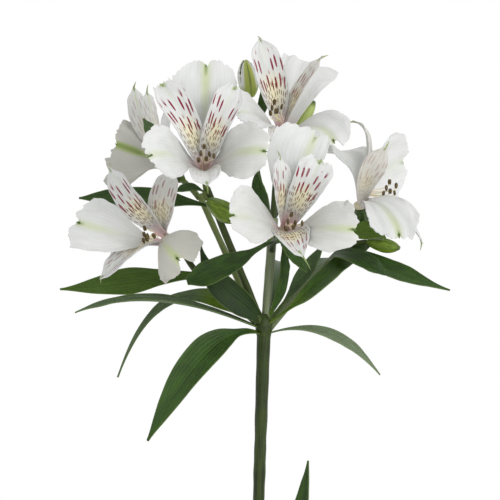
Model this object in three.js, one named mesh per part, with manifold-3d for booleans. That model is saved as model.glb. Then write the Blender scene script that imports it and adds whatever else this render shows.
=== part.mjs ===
// A white peruvian lily in a plain pot: one leafy stem with a whorl of leaves and an umbel of
// six blooms. Millimetres, +Z up, origin at the middle of the pot's underside, blooms facing -Y.

import * as THREE from 'three';
import { mergeVertices } from 'three/addons/utils/BufferGeometryUtils.js';
import Module from 'manifold-3d';

const wasm = await Module();
wasm.setup();

// Driving dimensions.
const potHeight = 118;
const potRimRadius = 66;
const potBaseRadius = 45;
const potWall = 4;
const rimHeight = 20;
const rimStandOut = 3;
const soilHeight = 107;
const soilLump = 1.6;
const stemRadius = 2.9;
const stemDepthInSoil = 42;
const whorlHeight = 268;
const bladeThickness = 0.6;
const seatGap = 0.3;
const ovaryLength = 9.5;
const ovaryRadius = 3.5;
const throatRadius = 3;
const throatFloor = 2.6;
const filamentRadius = 0.36;
const antherLength = 3.6;
const shortestDetail = 0.02;

// Colours of the plain materials.
const finishes = {
  clay: { color: 0xb8714f, roughness: 0.85 },
  soil: { color: 0x3a2a20, roughness: 0.95 },
  stem: { color: 0x5a8038, roughness: 0.55 },
  leaf: { color: 0x3c6a2c, roughness: 0.5 },
  petal: { color: 0xf1f0ec, roughness: 0.6 },
  stamen: { color: 0xd9cf9a, roughness: 0.6 },
  bud: { color: 0x9cbc4a, roughness: 0.55 },
};

const potted = new THREE.Group();

function vector(point) {
  return new THREE.Vector3(...point);
}

function addMesh(name, geometry, finish) {
  geometry.computeVertexNormals();
  const { color, roughness } = finishes[finish];
  const material = new THREE.MeshStandardMaterial({ color, roughness, metalness: 0 });
  const mesh = new THREE.Mesh(geometry, material);
  mesh.name = name;
  potted.add(mesh);
}

// Joining and cutting.

function toSolid(geometry) {
  const bare = new THREE.BufferGeometry();
  bare.setAttribute('position', geometry.attributes.position.clone());
  if (geometry.index) {
    bare.setIndex(geometry.index.clone());
  }
  const merged = mergeVertices(bare, 1e-4);
  return new wasm.Manifold(new wasm.Mesh({
    numProp: 3,
    vertProperties: new Float32Array(merged.attributes.position.array),
    triVerts: new Uint32Array(merged.index.array),
  }));
}

function toGeometry(solid) {
  const mesh = solid.simplify(shortestDetail).getMesh();
  const geometry = new THREE.BufferGeometry();
  geometry.setAttribute('position', new THREE.BufferAttribute(mesh.vertProperties, 3));
  geometry.setIndex(new THREE.BufferAttribute(mesh.triVerts, 1));
  return geometry;
}

function joined(solids) {
  return solids.reduce((whole, next) => whole.add(next));
}

function largestBody(solid) {
  return solid.decompose().reduce((best, next) => (next.volume() > best.volume() ? next : best));
}

// The outline of each kind of blade: half its width at even steps from root to tip, as a share of
// the widest; how far the corners and the middle of its broad end draw back; how hollow it is
// across at root and tip, in radians; and the height and number of the waves along its edge.
// Petals also have the radius of the ring they stand on in the throat, and how soon they flare.
// A single blade may set any of these for itself, and its skew makes it wider on one side.
const blades = {
  outerTepal: {
    widths: [0.12, 0.15, 0.26, 0.5, 0.76, 0.94, 1, 0.98, 0.86],
    drawBack: 0.26,
    notch: 0.07,
    hollow: [0.8, 0.15],
    ringRadius: 2.7,
    flare: 0.12,
    waveHeight: 0.9,
    waves: 2.3,
    across: 6,
    along: 6,
  },
  innerPetal: {
    widths: [0.2, 0.3, 0.54, 0.8, 0.97, 1, 0.92, 0.76, 0.07],
    drawBack: 0,
    notch: 0,
    hollow: [1.1, 0.35],
    ringRadius: 1.8,
    flare: 0.04,
    waveHeight: 0.4,
    waves: 2.1,
    across: 4,
    along: 5,
  },
  leaf: {
    widths: [0.16, 0.17, 0.38, 0.74, 0.97, 1, 0.84, 0.5, 0.07],
    drawBack: 0,
    notch: 0,
    hollow: [0.8, 0.35],
    waveHeight: 0.5,
    waves: 1.6,
    across: 4,
    along: 6,
  },
};
const notchSpread = 0.2;
const narrowestHalf = 0.45;
const cornerPower = 2.4;
const edgeShift = 1.3;

function countUp(count) {
  return [...Array(count).keys()];
}

function shareAt(list, place) {
  const step = Math.min(place, 1) * (list.length - 1);
  const low = Math.min(Math.floor(step), list.length - 2);
  return THREE.MathUtils.lerp(list[low], list[low + 1], step - low);
}

// A point on a blade's middle surface. The blade follows a Bezier curve of four points from root
// to tip, its upper side looks along face, and turn twists it from root to tip, in degrees.
function bladePoint(blade, curve, side, u, v) {
  const shape = { skew: 0, turn: 0, ...blades[blade.kind], ...blade };
  const drawnBack = shape.drawBack * Math.abs(u) ** cornerPower
    + shape.notch * Math.exp(-((u / notchSpread) ** 2));
  const place = v * (1 - drawnBack);
  const evenHalf = Math.max(0.5 * shape.width * shareAt(shape.widths, place), narrowestHalf);
  const half = evenHalf * (1 + shape.skew * u);
  const tangent = curve.getTangent(place);
  const across = side.clone().addScaledVector(tangent, -side.dot(tangent)).normalize();
  const turn = THREE.MathUtils.degToRad(shape.turn) * (place - 0.5);
  across.applyAxisAngle(tangent, turn);
  const upper = new THREE.Vector3().crossVectors(tangent, across);
  const hollow = THREE.MathUtils.lerp(...shape.hollow, place);
  const bend = hollow * u;
  const phase = 2 * Math.PI * shape.waves * place + edgeShift * Math.sign(u);
  const wave = shape.waveHeight * Math.sin(phase) * u * u * place;
  return curve.getPoint(place)
    .addScaledVector(across, half * Math.sin(bend) / hollow)
    .addScaledVector(upper, half * (1 - Math.cos(bend)) / hollow + wave);
}

function bladeSolid(blade) {
  const { across, along } = { ...blades[blade.kind], ...blade };
  const curve = new THREE.CubicBezierCurve3(...blade.path.map(vector));
  const chord = new THREE.Vector3().subVectors(curve.v3, curve.v0);
  const side = new THREE.Vector3().crossVectors(vector(blade.face), chord).normalize();
  const rows = along + 1;
  const columns = across + 1;
  const nearby = 0.01;
  const positions = [];
  for (const layer of [0.5, -0.5]) {
    for (const row of countUp(rows)) {
      for (const column of countUp(columns)) {
        const u = 2 * column / across - 1;
        const v = row / along;
        const point = bladePoint(blade, curve, side, u, v);
        const low = Math.max(v - nearby, 0);
        const high = Math.min(v + nearby, 1);
        const lengthwise = bladePoint(blade, curve, side, u, high)
          .sub(bladePoint(blade, curve, side, u, low));
        const crosswise = bladePoint(blade, curve, side, u + nearby, v)
          .sub(bladePoint(blade, curve, side, u - nearby, v));
        const normal = new THREE.Vector3().crossVectors(lengthwise, crosswise).normalize();
        point.addScaledVector(normal, layer * bladeThickness);
        positions.push(point.x, point.y, point.z);
      }
    }
  }
  const back = rows * columns;
  const at = (row, column) => row * columns + column;
  const faces = [];
  for (const row of countUp(along)) {
    for (const column of countUp(across)) {
      const a = at(row, column);
      const b = at(row, column + 1);
      const c = at(row + 1, column + 1);
      const d = at(row + 1, column);
      faces.push(a, c, b, a, d, c);
      faces.push(back + a, back + b, back + c, back + a, back + c, back + d);
    }
  }
  const rim = [
    ...countUp(across).map((column) => at(0, column)),
    ...countUp(along).map((row) => at(row, across)),
    ...countUp(across).map((column) => at(along, across - column)),
    ...countUp(along).map((row) => at(along - row, 0)),
  ];
  rim.forEach((here, index) => {
    const next = rim[(index + 1) % rim.length];
    faces.push(here, next, back + next, here, back + next, back + here);
  });
  const geometry = new THREE.BufferGeometry();
  geometry.setAttribute('position', new THREE.Float32BufferAttribute(positions, 3));
  geometry.setIndex(faces);
  return toSolid(geometry);
}

// A tube along a Bezier curve of four points, whose radius changes mostly near its end.
function tubeSolid({ path, from, to, sides = 6, steps = 6 }, grow = 0) {
  const curve = new THREE.CubicBezierCurve3(...path.map(vector));
  const frames = curve.computeFrenetFrames(steps);
  const geometry = new THREE.CylinderGeometry(1, 1, 1, sides, steps);
  const places = geometry.attributes.position;
  for (let index = 0; index < places.count; index += 1) {
    const share = places.getY(index) + 0.5;
    const ring = Math.round(share * steps);
    const radius = THREE.MathUtils.lerp(from, to, share ** 2) + grow;
    const point = curve.getPointAt(share)
      .addScaledVector(frames.normals[ring], radius * places.getX(index))
      .addScaledVector(frames.binormals[ring], -radius * places.getZ(index));
    places.setXYZ(index, point.x, point.y, point.z);
  }
  const solid = toSolid(geometry);
  return solid.volume() > 0 ? solid : turnedOut(solid);
}

function turnedOut(solid) {
  const mesh = solid.getMesh();
  const faces = mesh.triVerts;
  for (let index = 0; index < faces.length; index += 3) {
    [faces[index], faces[index + 1]] = [faces[index + 1], faces[index]];
  }
  const { vertProperties } = mesh;
  return new wasm.Manifold(new wasm.Mesh({ numProp: 3, vertProperties, triVerts: faces }));
}

// A turned shape whose profile of [radius, height] runs up +Z, stood at a point along a direction.
function turnedSolid(profile, sides, foot = [0, 0, 0], direction = [0, 0, 1]) {
  const outline = profile.map(([radius, height]) => new THREE.Vector2(radius, height));
  const geometry = new THREE.LatheGeometry(outline, sides);
  const upright = new THREE.Vector3(0, 1, 0);
  const aim = new THREE.Quaternion().setFromUnitVectors(upright, vector(direction).normalize());
  geometry.applyQuaternion(aim);
  geometry.translate(...foot);
  return toSolid(geometry);
}

// The plain pot: a tapered wall with a rim band, open at the top.
function makePot() {
  const rimInside = potRimRadius - rimStandOut - potWall;
  const bandBottom = potHeight - rimHeight;
  const edge = 1;
  const profile = [
    [0, 0],
    [potBaseRadius - 2 * edge, 0],
    [potBaseRadius, 2 * edge],
    [potRimRadius - rimStandOut - 2 * edge, bandBottom],
    [potRimRadius - edge, bandBottom + edge],
    [potRimRadius, potHeight - 2 * edge],
    [potRimRadius - edge, potHeight],
    [rimInside + edge, potHeight],
    [rimInside, potHeight - 2 * edge],
    [potBaseRadius - potWall, potWall],
    [0, potWall],
  ];
  addMesh('pot', toGeometry(turnedSolid(profile, 28)), 'clay');
}

function potInsideRadius(height) {
  const low = potBaseRadius - potWall;
  const high = potRimRadius - rimStandOut - potWall;
  return THREE.MathUtils.mapLinear(height, potWall, potHeight, low, high);
}

// The soil: it fills the pot, its top raised by a formula, with a plain hole for the stem.
function makeSoil(stemRoom) {
  const rings = 4;
  const sides = 22;
  const edgeDrop = 2;
  const floor = potWall + seatGap;
  const clearance = 2 * seatGap;
  const profile = [[0, floor], [potInsideRadius(floor) - clearance, floor]];
  for (let ring = rings; ring >= 0; ring -= 1) {
    const height = soilHeight - (ring === rings ? edgeDrop : 0);
    profile.push([(potInsideRadius(height) - clearance) * ring / rings, height]);
  }
  const geometry = new THREE.LatheGeometry(
    profile.map(([radius, height]) => new THREE.Vector2(radius, height)), sides);
  geometry.rotateX(Math.PI / 2);
  const places = geometry.attributes.position;
  for (let index = 0; index < places.count; index += 1) {
    const [x, y, z] = [places.getX(index), places.getY(index), places.getZ(index)];
    const lump = Math.sin(0.31 * x + 1.1) * Math.cos(0.27 * y) + 0.6 * Math.sin(0.53 * (x - y));
    const lift = z === soilHeight ? soilLump * lump : 0;
    places.setZ(index, z + lift);
  }
  addMesh('soil', toGeometry(toSolid(geometry).subtract(stemRoom)), 'soil');
}

// The stem and all that grew with it in green: rays, bloom stalks and ovaries.
const stemFoot = [0, 0, soilHeight - stemDepthInSoil];
const whorl = [4.5, 0, whorlHeight];
const stalks = [
  {
    path: [stemFoot, [0, 0, 130], [2, 0, 190], whorl],
    from: stemRadius - 0.4, to: stemRadius + 0.6, sides: 10, steps: 7,
  },
  { path: [[3.5, 2, 266], [-6, 4, 287], [-17.5, 5, 311], [-28, 3, 335]], from: 1.7, to: 1.5 },
  { path: [[4.5, -1, 266], [-3, -4, 288], [-14.5, -7, 313], [-24, -7, 338]], from: 1.8, to: 1.7 },
  { path: [[4, 2, 267], [-12, 8, 284], [-30, 10, 290], [-36.5, -6, 308.5]], from: 1.6, to: 1.5 },
  { path: [[5, 1, 266], [6, 3, 285], [8, 4, 300], [9, 3, 323]], from: 2.2, to: 2.6 },
  { path: [[6, 0, 266], [18, 3, 282], [35, 6, 298], [54, 4.5, 319.5]], from: 1.7, to: 1.6 },
];
// Bloom stalks start inside a ray and end in an ovary; bud stalks end just short of their bud.
const sideStalks = [
  {
    path: [[-28, 3, 333], [-31.5, 6, 338], [-33.5, 13, 339], [-37, 18.4, 342.8]],
    from: 1.5, to: 1.4,
  },
  {
    path: [[-24, -7, 336], [-25, -9, 341], [-25, -13, 343], [-25, -19, 343.5]],
    from: 1.6, to: 1.4,
  },
  { path: [[8.5, 3.5, 306], [8, -6, 313], [11, -15, 311], [12.5, -25.5, 312]], from: 1.6, to: 1.4 },
  { path: [[9, 3, 321], [10, 8, 335], [11, 24, 348], [12, 21.5, 359]], from: 1.7, to: 1.4 },
  { path: [[9, 4, 320], [2, 16, 338], [-2, 24, 360], [-2.2, 22, 384]], from: 1.2, to: 1 },
  { path: [[9, 4, 322], [18, 20, 338], [15, 26, 356], [19, 20.8, 367.5]], from: 1.2, to: 1 },
  {
    path: [[-22.5, -7, 334], [-26, -9, 337], [-26, -10.5, 334.5], [-23.8, -11.2, 332]],
    from: 1.2, to: 1,
  },
  { path: [[43, 4, 307.5], [45, 2, 309], [50, -2, 311], [55.5, -4, 311.3]], from: 1.2, to: 1 },
];

// Blooms. Petal tips and the knees of their curves are places in the pot's frame.
const blooms = {
  front_left: {
    base: [-25, -28, 346],
    axis: [0, -0.97, 0.25],
    anthers: [-24, -55, 353],
    outer: [
      { knee: [-24, -48, 384], tip: [-24, -31, 401], width: 32, drawBack: 0.2 },
      { knee: [-44, -66, 357], tip: [-52, -69, 351], width: 28 },
      { knee: [-6, -66, 357], tip: [7.5, -64, 354], width: 30 },
    ],
    inner: [
      {
        knee: [-33.5, -59, 373.5], tip: [-45.5, -44, 387.5], width: 15.5,
        widths: [0.3, 0.45, 0.62, 0.76, 0.84, 0.9, 0.96, 1, 0.6],
      },
      {
        knee: [-17, -60, 373], tip: [-9.5, -47, 386], width: 14.5,
        widths: [0.3, 0.45, 0.64, 0.8, 0.88, 0.93, 0.97, 1, 0.5],
      },
      { knee: [-24, -66, 345], tip: [-23, -68, 338], width: 16 },
    ],
  },
  front_right: {
    base: [14, -34, 316],
    axis: [0.15, -0.9, 0.4],
    anthers: [18, -62, 320],
    outer: [
      { knee: [23, -58, 351], tip: [31, -42, 365], width: 28, skew: 0.4, drawBack: 0.14 },
      { knee: [-4, -74, 323], tip: [-13, -75, 324], width: 31 },
      { knee: [38, -72, 318], tip: [50, -68, 316.5], width: 31 },
    ],
    inner: [
      { knee: [11, -66, 340], tip: [12, -62, 352], width: 13, face: [0.5, -0.8, 0.3] },
      {
        knee: [27, -66, 341], tip: [31.5, -58, 350], width: 18,
        widths: [0.3, 0.42, 0.56, 0.7, 0.82, 0.9, 0.97, 1, 0.66],
      },
      {
        knee: [18.5, -70, 309], tip: [23, -71, 304], width: 20,
        widths: [0.2, 0.5, 0.86, 1, 0.96, 0.78, 0.56, 0.34, 0.07],
      },
    ],
  },
  top: {
    base: [13, 14, 364.5],
    axis: [0.1, -0.8, 0.6],
    anthers: [10, -17, 377],
    spread: 0.7,
    outer: [
      {
        knee: [18, 14, 391], tip: [24, 24, 403.5], width: 30, skew: -0.35, drawBack: 0.02, notch: 0,
        widths: [0.2, 0.3, 0.4, 0.5, 0.62, 0.74, 0.86, 0.98, 1],
      },
      { knee: [-4, -18, 379], tip: [-11, -22, 373], width: 28 },
      { knee: [36, -10, 372], tip: [40, -20, 358], width: 29 },
    ],
    inner: [
      { knee: [6.5, -6, 398], tip: [2.5, 3, 413], width: 17 },
      { knee: [23, -8, 390], tip: [33, -5, 403], width: 11, face: [-0.9, -0.45, 0.2] },
      { knee: [12, -22, 364], tip: [13, -26, 356], width: 14 },
    ],
  },
  far_right: {
    base: [52.5, 0, 328],
    axis: [-0.15, -0.5, 0.85],
    anthers: [67, -11.5, 337.5],
    spread: 0.9,
    outer: [
      {
        knee: [57, 14, 359], tip: [34, 18, 358], width: 29, turn: 120,
        widths: [0.12, 0.15, 0.2, 0.28, 0.46, 0.72, 0.94, 1, 0.7],
        drawBack: 0.1, notch: 0,
      },
      { knee: [72, -30, 323], tip: [70.5, -36, 311.5], width: 26 },
      { knee: [67, 14, 350], tip: [78, 28, 352], width: 38, face: [0.8, -0.55, -0.17] },
    ],
    inner: [
      {
        knee: [55, -18, 345], tip: [65, -17, 358], width: 13, face: [0.3, -0.9, 0.3],
        widths: [0.28, 0.34, 0.5, 0.68, 0.84, 0.97, 1, 0.8, 0.12],
      },
      { knee: [64, 10, 366], tip: [50, 14, 372], width: 7, face: [0.6, 0, 0.8] },
      { knee: [76, -10, 326], tip: [83, -10, 311], width: 9, face: [0.6, 0, 0.8] },
    ],
  },
  far_left: {
    base: [-43, -12, 312],
    axis: [-0.68, -0.62, 0.38],
    anthers: [-53, -38, 314],
    spread: 0.9,
    outer: [
      { knee: [-52, 12, 328], tip: [-44, 28, 326], width: 22 },
      { knee: [-76, -37, 318], tip: [-90, -28, 321.5], width: 30, drawBack: 0.14 },
      {
        knee: [-40, -56, 305], tip: [-32.5, -50, 298], width: 31,
        hollow: [-0.5, -0.7], drawBack: 0.1, notch: 0.2,
      },
    ],
    inner: [
      { knee: [-63, -32, 332], tip: [-71.5, -26, 347], width: 16 },
      {
        knee: [-46, -26, 334], tip: [-40.5, -22, 346], width: 15, face: [-0.3, -1, 0.2],
        widths: [0.12, 0.18, 0.5, 0.8, 0.97, 1, 0.92, 0.76, 0.07],
      },
      { knee: [-66, -36, 303], tip: [-76, -26, 293], width: 14 },
    ],
  },
  back_left: {
    base: [-43, 22, 349],
    axis: [-0.6, 0.35, 0.72],
    anthers: [-54.5, 29.5, 368],
    spread: 0.45,
    outer: [
      { knee: [-44, 44, 380], tip: [-40, 58, 390], width: 26 },
      {
        knee: [-61, 17, 357], tip: [-72, 14, 361], width: 36,
        face: [0, 1, -0.3], drawBack: 0.08, skew: -0.2,
      },
      { knee: [-56, 52, 364], tip: [-64, 62, 364], width: 24 },
    ],
    inner: [
      { knee: [-60, 15, 376], tip: [-61, 10, 389], width: 12 },
      { knee: [-53, 24, 381], tip: [-55, 24, 387], width: 12 },
      { knee: [-58, 40, 362], tip: [-66, 42, 354], width: 12 },
    ],
  },
};

// Closed buds, from foot to tip.
const buds = {
  bud_top: { foot: [-2.2, 22, 384.4], tip: [-5, 20, 403], radius: 5.2 },
  bud_behind_top: { foot: [19.2, 20.5, 368], tip: [30, 14, 382], radius: 4 },
  bud_left: { foot: [-23.4, -11.3, 331.6], tip: [-8, -15, 321.5], radius: 5.2 },
  bud_right: { foot: [56, -4.2, 311.2], tip: [72, -10, 308], radius: 3.6 },
};

// Leaves: the whorl's, those on the rays and at the bloom stalks, and the stem's own.
const leaves = {
  leaf_hanging: {
    path: [[3.5, -0.5, 265], [-14, -13, 270], [-29, -26, 258], [-53, -24, 213]],
    face: [-0.3, -1, 0.5], width: 18,
    widths: [0.14, 0.26, 0.34, 0.74, 1, 1, 0.84, 0.5, 0.07],
  },
  leaf_low_left: {
    path: [[3, 0, 267.5], [-22, -8, 278], [-55, -22, 290], [-89, -18, 276]],
    face: [0, -0.3, 1], width: 13,
    widths: [0.2, 0.34, 0.46, 0.6, 0.94, 1, 0.8, 0.46, 0.07],
  },
  leaf_drooping: {
    path: [[4, 0.5, 269.4], [-22, 8, 288], [-50, 14, 298], [-69, 8, 243]],
    face: [-0.1, -0.9, 0.4], width: 12,
    widths: [0.2, 0.5, 0.84, 0.7, 0.46, 0.46, 0.32, 0.18, 0.06],
  },
  leaf_bright_left: {
    path: [[4, 1.5, 272], [-12, 36, 308], [-50, 14, 289.5], [-97, -8, 287.5]],
    face: [0, -0.9, 0.4], width: 15,
    widths: [0.14, 0.14, 0.16, 0.2, 0.32, 0.62, 0.96, 0.56, 0.05],
  },
  leaf_curled: {
    path: [[9, 2, 312], [2, -18, 308], [-12, -32, 299], [-33.5, -28, 291.5]],
    face: [0.2, -0.9, 0.5], width: 12.5,
    widths: [0.18, 0.18, 0.2, 0.3, 0.62, 0.92, 1, 0.98, 0.3],
  },
  leaf_upright_left: {
    path: [[4.5, -0.5, 270], [-8, -12, 284], [-23, -13, 287], [-27, -10, 309]],
    face: [-0.4, -0.8, 0.6], width: 14,
    widths: [0.2, 0.5, 0.86, 1, 1, 0.9, 0.6, 0.3, 0.07],
  },
  leaf_behind_left: {
    path: [[-20, -7, 328], [-36, -10, 333], [-63, -6, 333], [-88, 0, 333]],
    face: [0, -0.9, 0.4], width: 12,
  },
  leaf_small_left: {
    path: [[-23, -7, 334], [-30, -10, 340], [-34, -14, 338], [-39, -16, 336]],
    face: [0, -0.8, 0.6], width: 6, along: 4,
  },
  leaf_slender_right: {
    path: [[5, 0.5, 270], [16, 10, 281], [25, 12, 294], [34, 16, 309]],
    face: [-0.3, -0.8, 0.4], width: 8,
    widths: [0.2, 0.2, 0.22, 0.3, 0.74, 1, 1, 0.7, 0.2],
  },
  leaf_broad_right: {
    path: [[5.5, -0.5, 270], [24, -11, 280.5], [36, -9, 300], [58.5, 2, 312]],
    face: [-0.5, -0.7, 0.6], width: 13, skew: -0.4,
    widths: [0.16, 0.16, 0.3, 0.86, 1, 1, 0.96, 0.84, 0.4],
  },
  leaf_far_right: {
    path: [[41.2, 4.9, 305.4], [52, 3, 303.5], [78, -10, 292], [97, -8, 287]],
    face: [0.1, -0.7, 0.8], width: 13,
    widths: [0.16, 0.5, 0.88, 1, 1, 0.94, 0.6, 0.26, 0.07],
  },
  leaf_right_front: {
    path: [[37, 4.7, 301], [41, -15, 310], [56, -24, 300], [66, -20, 294.5]],
    face: [0.2, -0.8, 0.6], width: 10,
    widths: [0.2, 0.5, 0.76, 0.9, 1, 1, 0.9, 0.56, 0.07],
  },
  leaf_arching_right: {
    path: [[5, -0.5, 264.5], [22, -10, 271.5], [44, -14, 267], [62, -12, 245]],
    face: [0.3, -0.4, 1], width: 12,
  },
  leaf_upright_middle: {
    path: [[7, 1, 274], [14, -1, 286], [16, -2, 297], [14, -3, 308]],
    face: [0.4, -0.9, 0], width: 5.5,
    widths: [0.3, 0.5, 0.8, 1, 1, 1, 0.9, 0.7, 0.2],
  },
  leaf_under_right: {
    path: [[46, 4.5, 310], [49, -8, 317], [57, -12, 319.5], [65, -9, 313]],
    face: [0, -1, 0.2], width: 9.5,
  },
  leaf_back_high: {
    path: [[4.5, 1, 270], [12, 22, 292], [12, 42, 308], [13, 78.5, 298]],
    face: [0.3, 0, 1], width: 13, along: 4,
  },
  leaf_back_right: {
    path: [[5, 1, 267], [22, 26, 288], [36, 50, 305], [45, 75, 302]],
    face: [0, -0.2, 1], width: 13, along: 4,
  },
  leaf_back_left: {
    path: [[4, 1, 266.5], [-4, 30, 276], [-17, 52, 288], [-27, 70, 290]],
    face: [0, -0.2, 1], width: 12, along: 4,
  },
  leaf_under_front: {
    path: [[9, 3, 314], [16, -8, 312], [19, -13, 303], [26, -14, 296]],
    face: [0.4, -0.8, 0.3], width: 9,
  },
  leaf_between: {
    path: [[9, 3, 320], [6, -6, 330], [1, -12, 335], [1, -14, 347]],
    face: [-0.5, -0.8, 0.2], width: 9,
  },
  leaf_back_bloom: {
    path: [[-35.5, 16, 341.5], [-40, 8, 357], [-50, 5, 362], [-56, 5, 373]],
    face: [-0.2, 1, 0.1], width: 10,
  },
  leaf_top_small: {
    path: [[0, 22, 372], [4, 17, 376], [5, 14, 381], [3, 13, 388]],
    face: [0, -1, 0.2], width: 5, along: 4,
  },
  leaf_stem_tip: {
    path: [[1.5, 0, 132], [16, -3, 140], [24, -6, 172], [26.5, -4, 202]],
    face: [-0.5, -0.7, 0.5], width: 12,
  },
  leaf_stem_left: {
    path: [[2, 0, 156], [-12, 6, 170], [-30, 12, 174], [-54, 16, 158]],
    face: [0, -0.3, 1], width: 13, along: 4,
  },
  leaf_stem_back: {
    path: [[1.5, 0, 144], [14, 16, 160], [24, 36, 164], [34, 60, 148]],
    face: [0, -0.2, 1], width: 13, along: 4,
  },
  leaf_stem_front: {
    path: [[1, 0, 122], [-6, -14, 142], [-18, -34, 148], [-28, -54, 136]],
    face: [0, -0.2, 1], width: 12, along: 4,
  },
};

function makeStem() {
  const tubes = [...stalks, ...sideStalks.map((stalk) => ({ ...stalk, sides: 5, steps: 3 }))];
  const joint = [[0, -7], [3.5, -4], [4.2, 0], [3.6, 4], [0, 7]];
  const solids = tubes.map((tube) => tubeSolid(tube));
  const room = tubes.map((tube) => tubeSolid(tube, seatGap));
  solids.push(turnedSolid(joint, 10, whorl));
  const roomyJoint = joint.map(([radius, height]) => [
    radius === 0 ? 0 : radius + seatGap, height + Math.sign(height) * seatGap]);
  room.push(turnedSolid(roomyJoint, 10, whorl));
  const ovary = [[0, 0], [1.6, 0], [ovaryRadius, 0.35], [ovaryRadius, 0.7], [2.6, 1], [0, 1]];
  for (const bloom of Object.values(blooms)) {
    const axis = vector(bloom.axis).normalize();
    const foot = vector(bloom.base).addScaledVector(axis, -ovaryLength).toArray();
    const profile = ovary.map(([radius, share]) => [radius, share * ovaryLength]);
    const roomy = ovary.map(([radius, share]) => [
      radius === 0 ? 0 : radius + seatGap, share * (ovaryLength + seatGap)]);
    solids.push(turnedSolid(profile, 6, foot, bloom.axis));
    room.push(turnedSolid(roomy, 6, foot, bloom.axis));
  }
  addMesh('stem', toGeometry(joined(solids)), 'stem');
  return joined(room);
}

// The root of a petal stands on the ring of the throat, on the side towards its tip.
function petalBlade(bloom, petal, kind) {
  const base = vector(bloom.base);
  const axis = vector(bloom.axis).normalize();
  const outward = vector(petal.knee).sub(base);
  outward.addScaledVector(axis, -outward.dot(axis)).normalize();
  const root = base.clone().addScaledVector(axis, 2 * seatGap)
    .addScaledVector(outward, blades[kind].ringRadius);
  const reach = vector(petal.knee).distanceTo(base);
  const shoulder = root.clone().addScaledVector(axis, 0.4 * reach)
    .addScaledVector(outward, blades[kind].flare * reach);
  const path = [root.toArray(), shoulder.toArray(), petal.knee, petal.tip];
  return { face: axis.toArray(), ...petal, kind, path };
}

function makeBloom(name, bloom, stemRoom) {
  const axis = vector(bloom.axis).normalize();
  const foot = vector(bloom.base).addScaledVector(axis, seatGap).toArray();
  const floor = [[0, 0], [throatRadius, 0], [throatRadius, throatFloor], [0, throatFloor]];
  const solids = [
    turnedSolid(floor, 8, foot, bloom.axis),
    ...bloom.outer.map((petal) => bladeSolid(petalBlade(bloom, petal, 'outerTepal'))),
    ...bloom.inner.map((petal) => bladeSolid(petalBlade(bloom, petal, 'innerPetal'))),
  ];
  addMesh(`bloom_${name}`, toGeometry(largestBody(joined(solids).subtract(stemRoom))), 'petal');
}

// Six filaments from one small foot in the throat, each with a grain-shaped anther.
function makeStamens(name, bloom) {
  const count = 6;
  const footRadius = 0.8;
  const footHeight = 1.2;
  const wideSpread = 4.4;
  const narrowSpread = 2.4;
  const unevenness = 3;
  const axis = vector(bloom.axis).normalize();
  const foot = vector(bloom.base).addScaledVector(axis, throatFloor + 2 * seatGap);
  const end = vector(bloom.anthers);
  const side = new THREE.Vector3().crossVectors(axis, new THREE.Vector3(0, 0, 1)).normalize();
  const over = new THREE.Vector3().crossVectors(side, axis);
  const ring = [[0, 0], [footRadius, 0], [footRadius, footHeight], [0, footHeight]];
  const solids = [turnedSolid(ring, count, foot.toArray(), bloom.axis)];
  for (const index of countUp(count)) {
    const angle = 2 * Math.PI * (index + 0.35) / count;
    const ray = side.clone().multiplyScalar(Math.cos(angle))
      .addScaledVector(over, 0.8 * Math.sin(angle));
    const spread = (index % 2 ? wideSpread : narrowSpread) * (bloom.spread ?? 1);
    const tip = end.clone().addScaledVector(ray, spread)
      .addScaledVector(axis, unevenness * Math.sin(2.4 * index));
    const root = foot.clone().addScaledVector(ray, 0.5 * footRadius)
      .addScaledVector(axis, 0.5 * footHeight);
    const reach = root.distanceTo(tip);
    const path = [
      root.toArray(),
      root.clone().addScaledVector(axis, 0.5 * reach).toArray(),
      tip.clone().addScaledVector(axis, -0.35 * reach).toArray(),
      tip.toArray(),
    ];
    solids.push(tubeSolid({ path, from: filamentRadius, to: filamentRadius, sides: 3, steps: 2 }));
    const anther = [[0, -0.5], [0.3, 0], [0, 0.5]]
      .map(([radius, share]) => [radius * antherLength, share * antherLength]);
    const lean = axis.clone().addScaledVector(over, 0.9).toArray();
    solids.push(turnedSolid(anther, 4, tip.toArray(), lean));
  }
  addMesh(`stamens_${name}`, toGeometry(largestBody(joined(solids))), 'stamen');
}

function makeBud(name, bud) {
  const foot = vector(bud.foot);
  const tip = vector(bud.tip);
  const length = foot.distanceTo(tip);
  const outline = [
    [0, 0], [0.45, 0.02], [0.7, 0.2], [0.9, 0.4], [1, 0.62], [0.8, 0.84], [0.3, 0.97], [0, 1],
  ];
  const profile = outline.map(([share, height]) => [share * bud.radius, height * length]);
  const solid = turnedSolid(profile, 9, bud.foot, tip.clone().sub(foot).toArray());
  addMesh(name, toGeometry(solid), 'bud');
}

makePot();
const stemRoom = makeStem();
makeSoil(stemRoom);
for (const [name, bloom] of Object.entries(blooms)) {
  makeBloom(name, bloom, stemRoom);
  makeStamens(name, bloom);
}
for (const [name, bud] of Object.entries(buds)) {
  makeBud(name, bud);
}
for (const [name, leaf] of Object.entries(leaves)) {
  const blade = bladeSolid({ ...leaf, kind: 'leaf' });
  addMesh(name, toGeometry(largestBody(blade.subtract(stemRoom))), 'leaf');
}

export default potted;
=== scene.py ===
# A white peruvian lily in a clay pot, dressed over its solids. Lengths in the settings are in
# millimetres, in the pot's frame: +Z up, the camera on the -Y side.
import math
import random

import bmesh
import bpy
from mathutils import Matrix, Vector, noise


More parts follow.
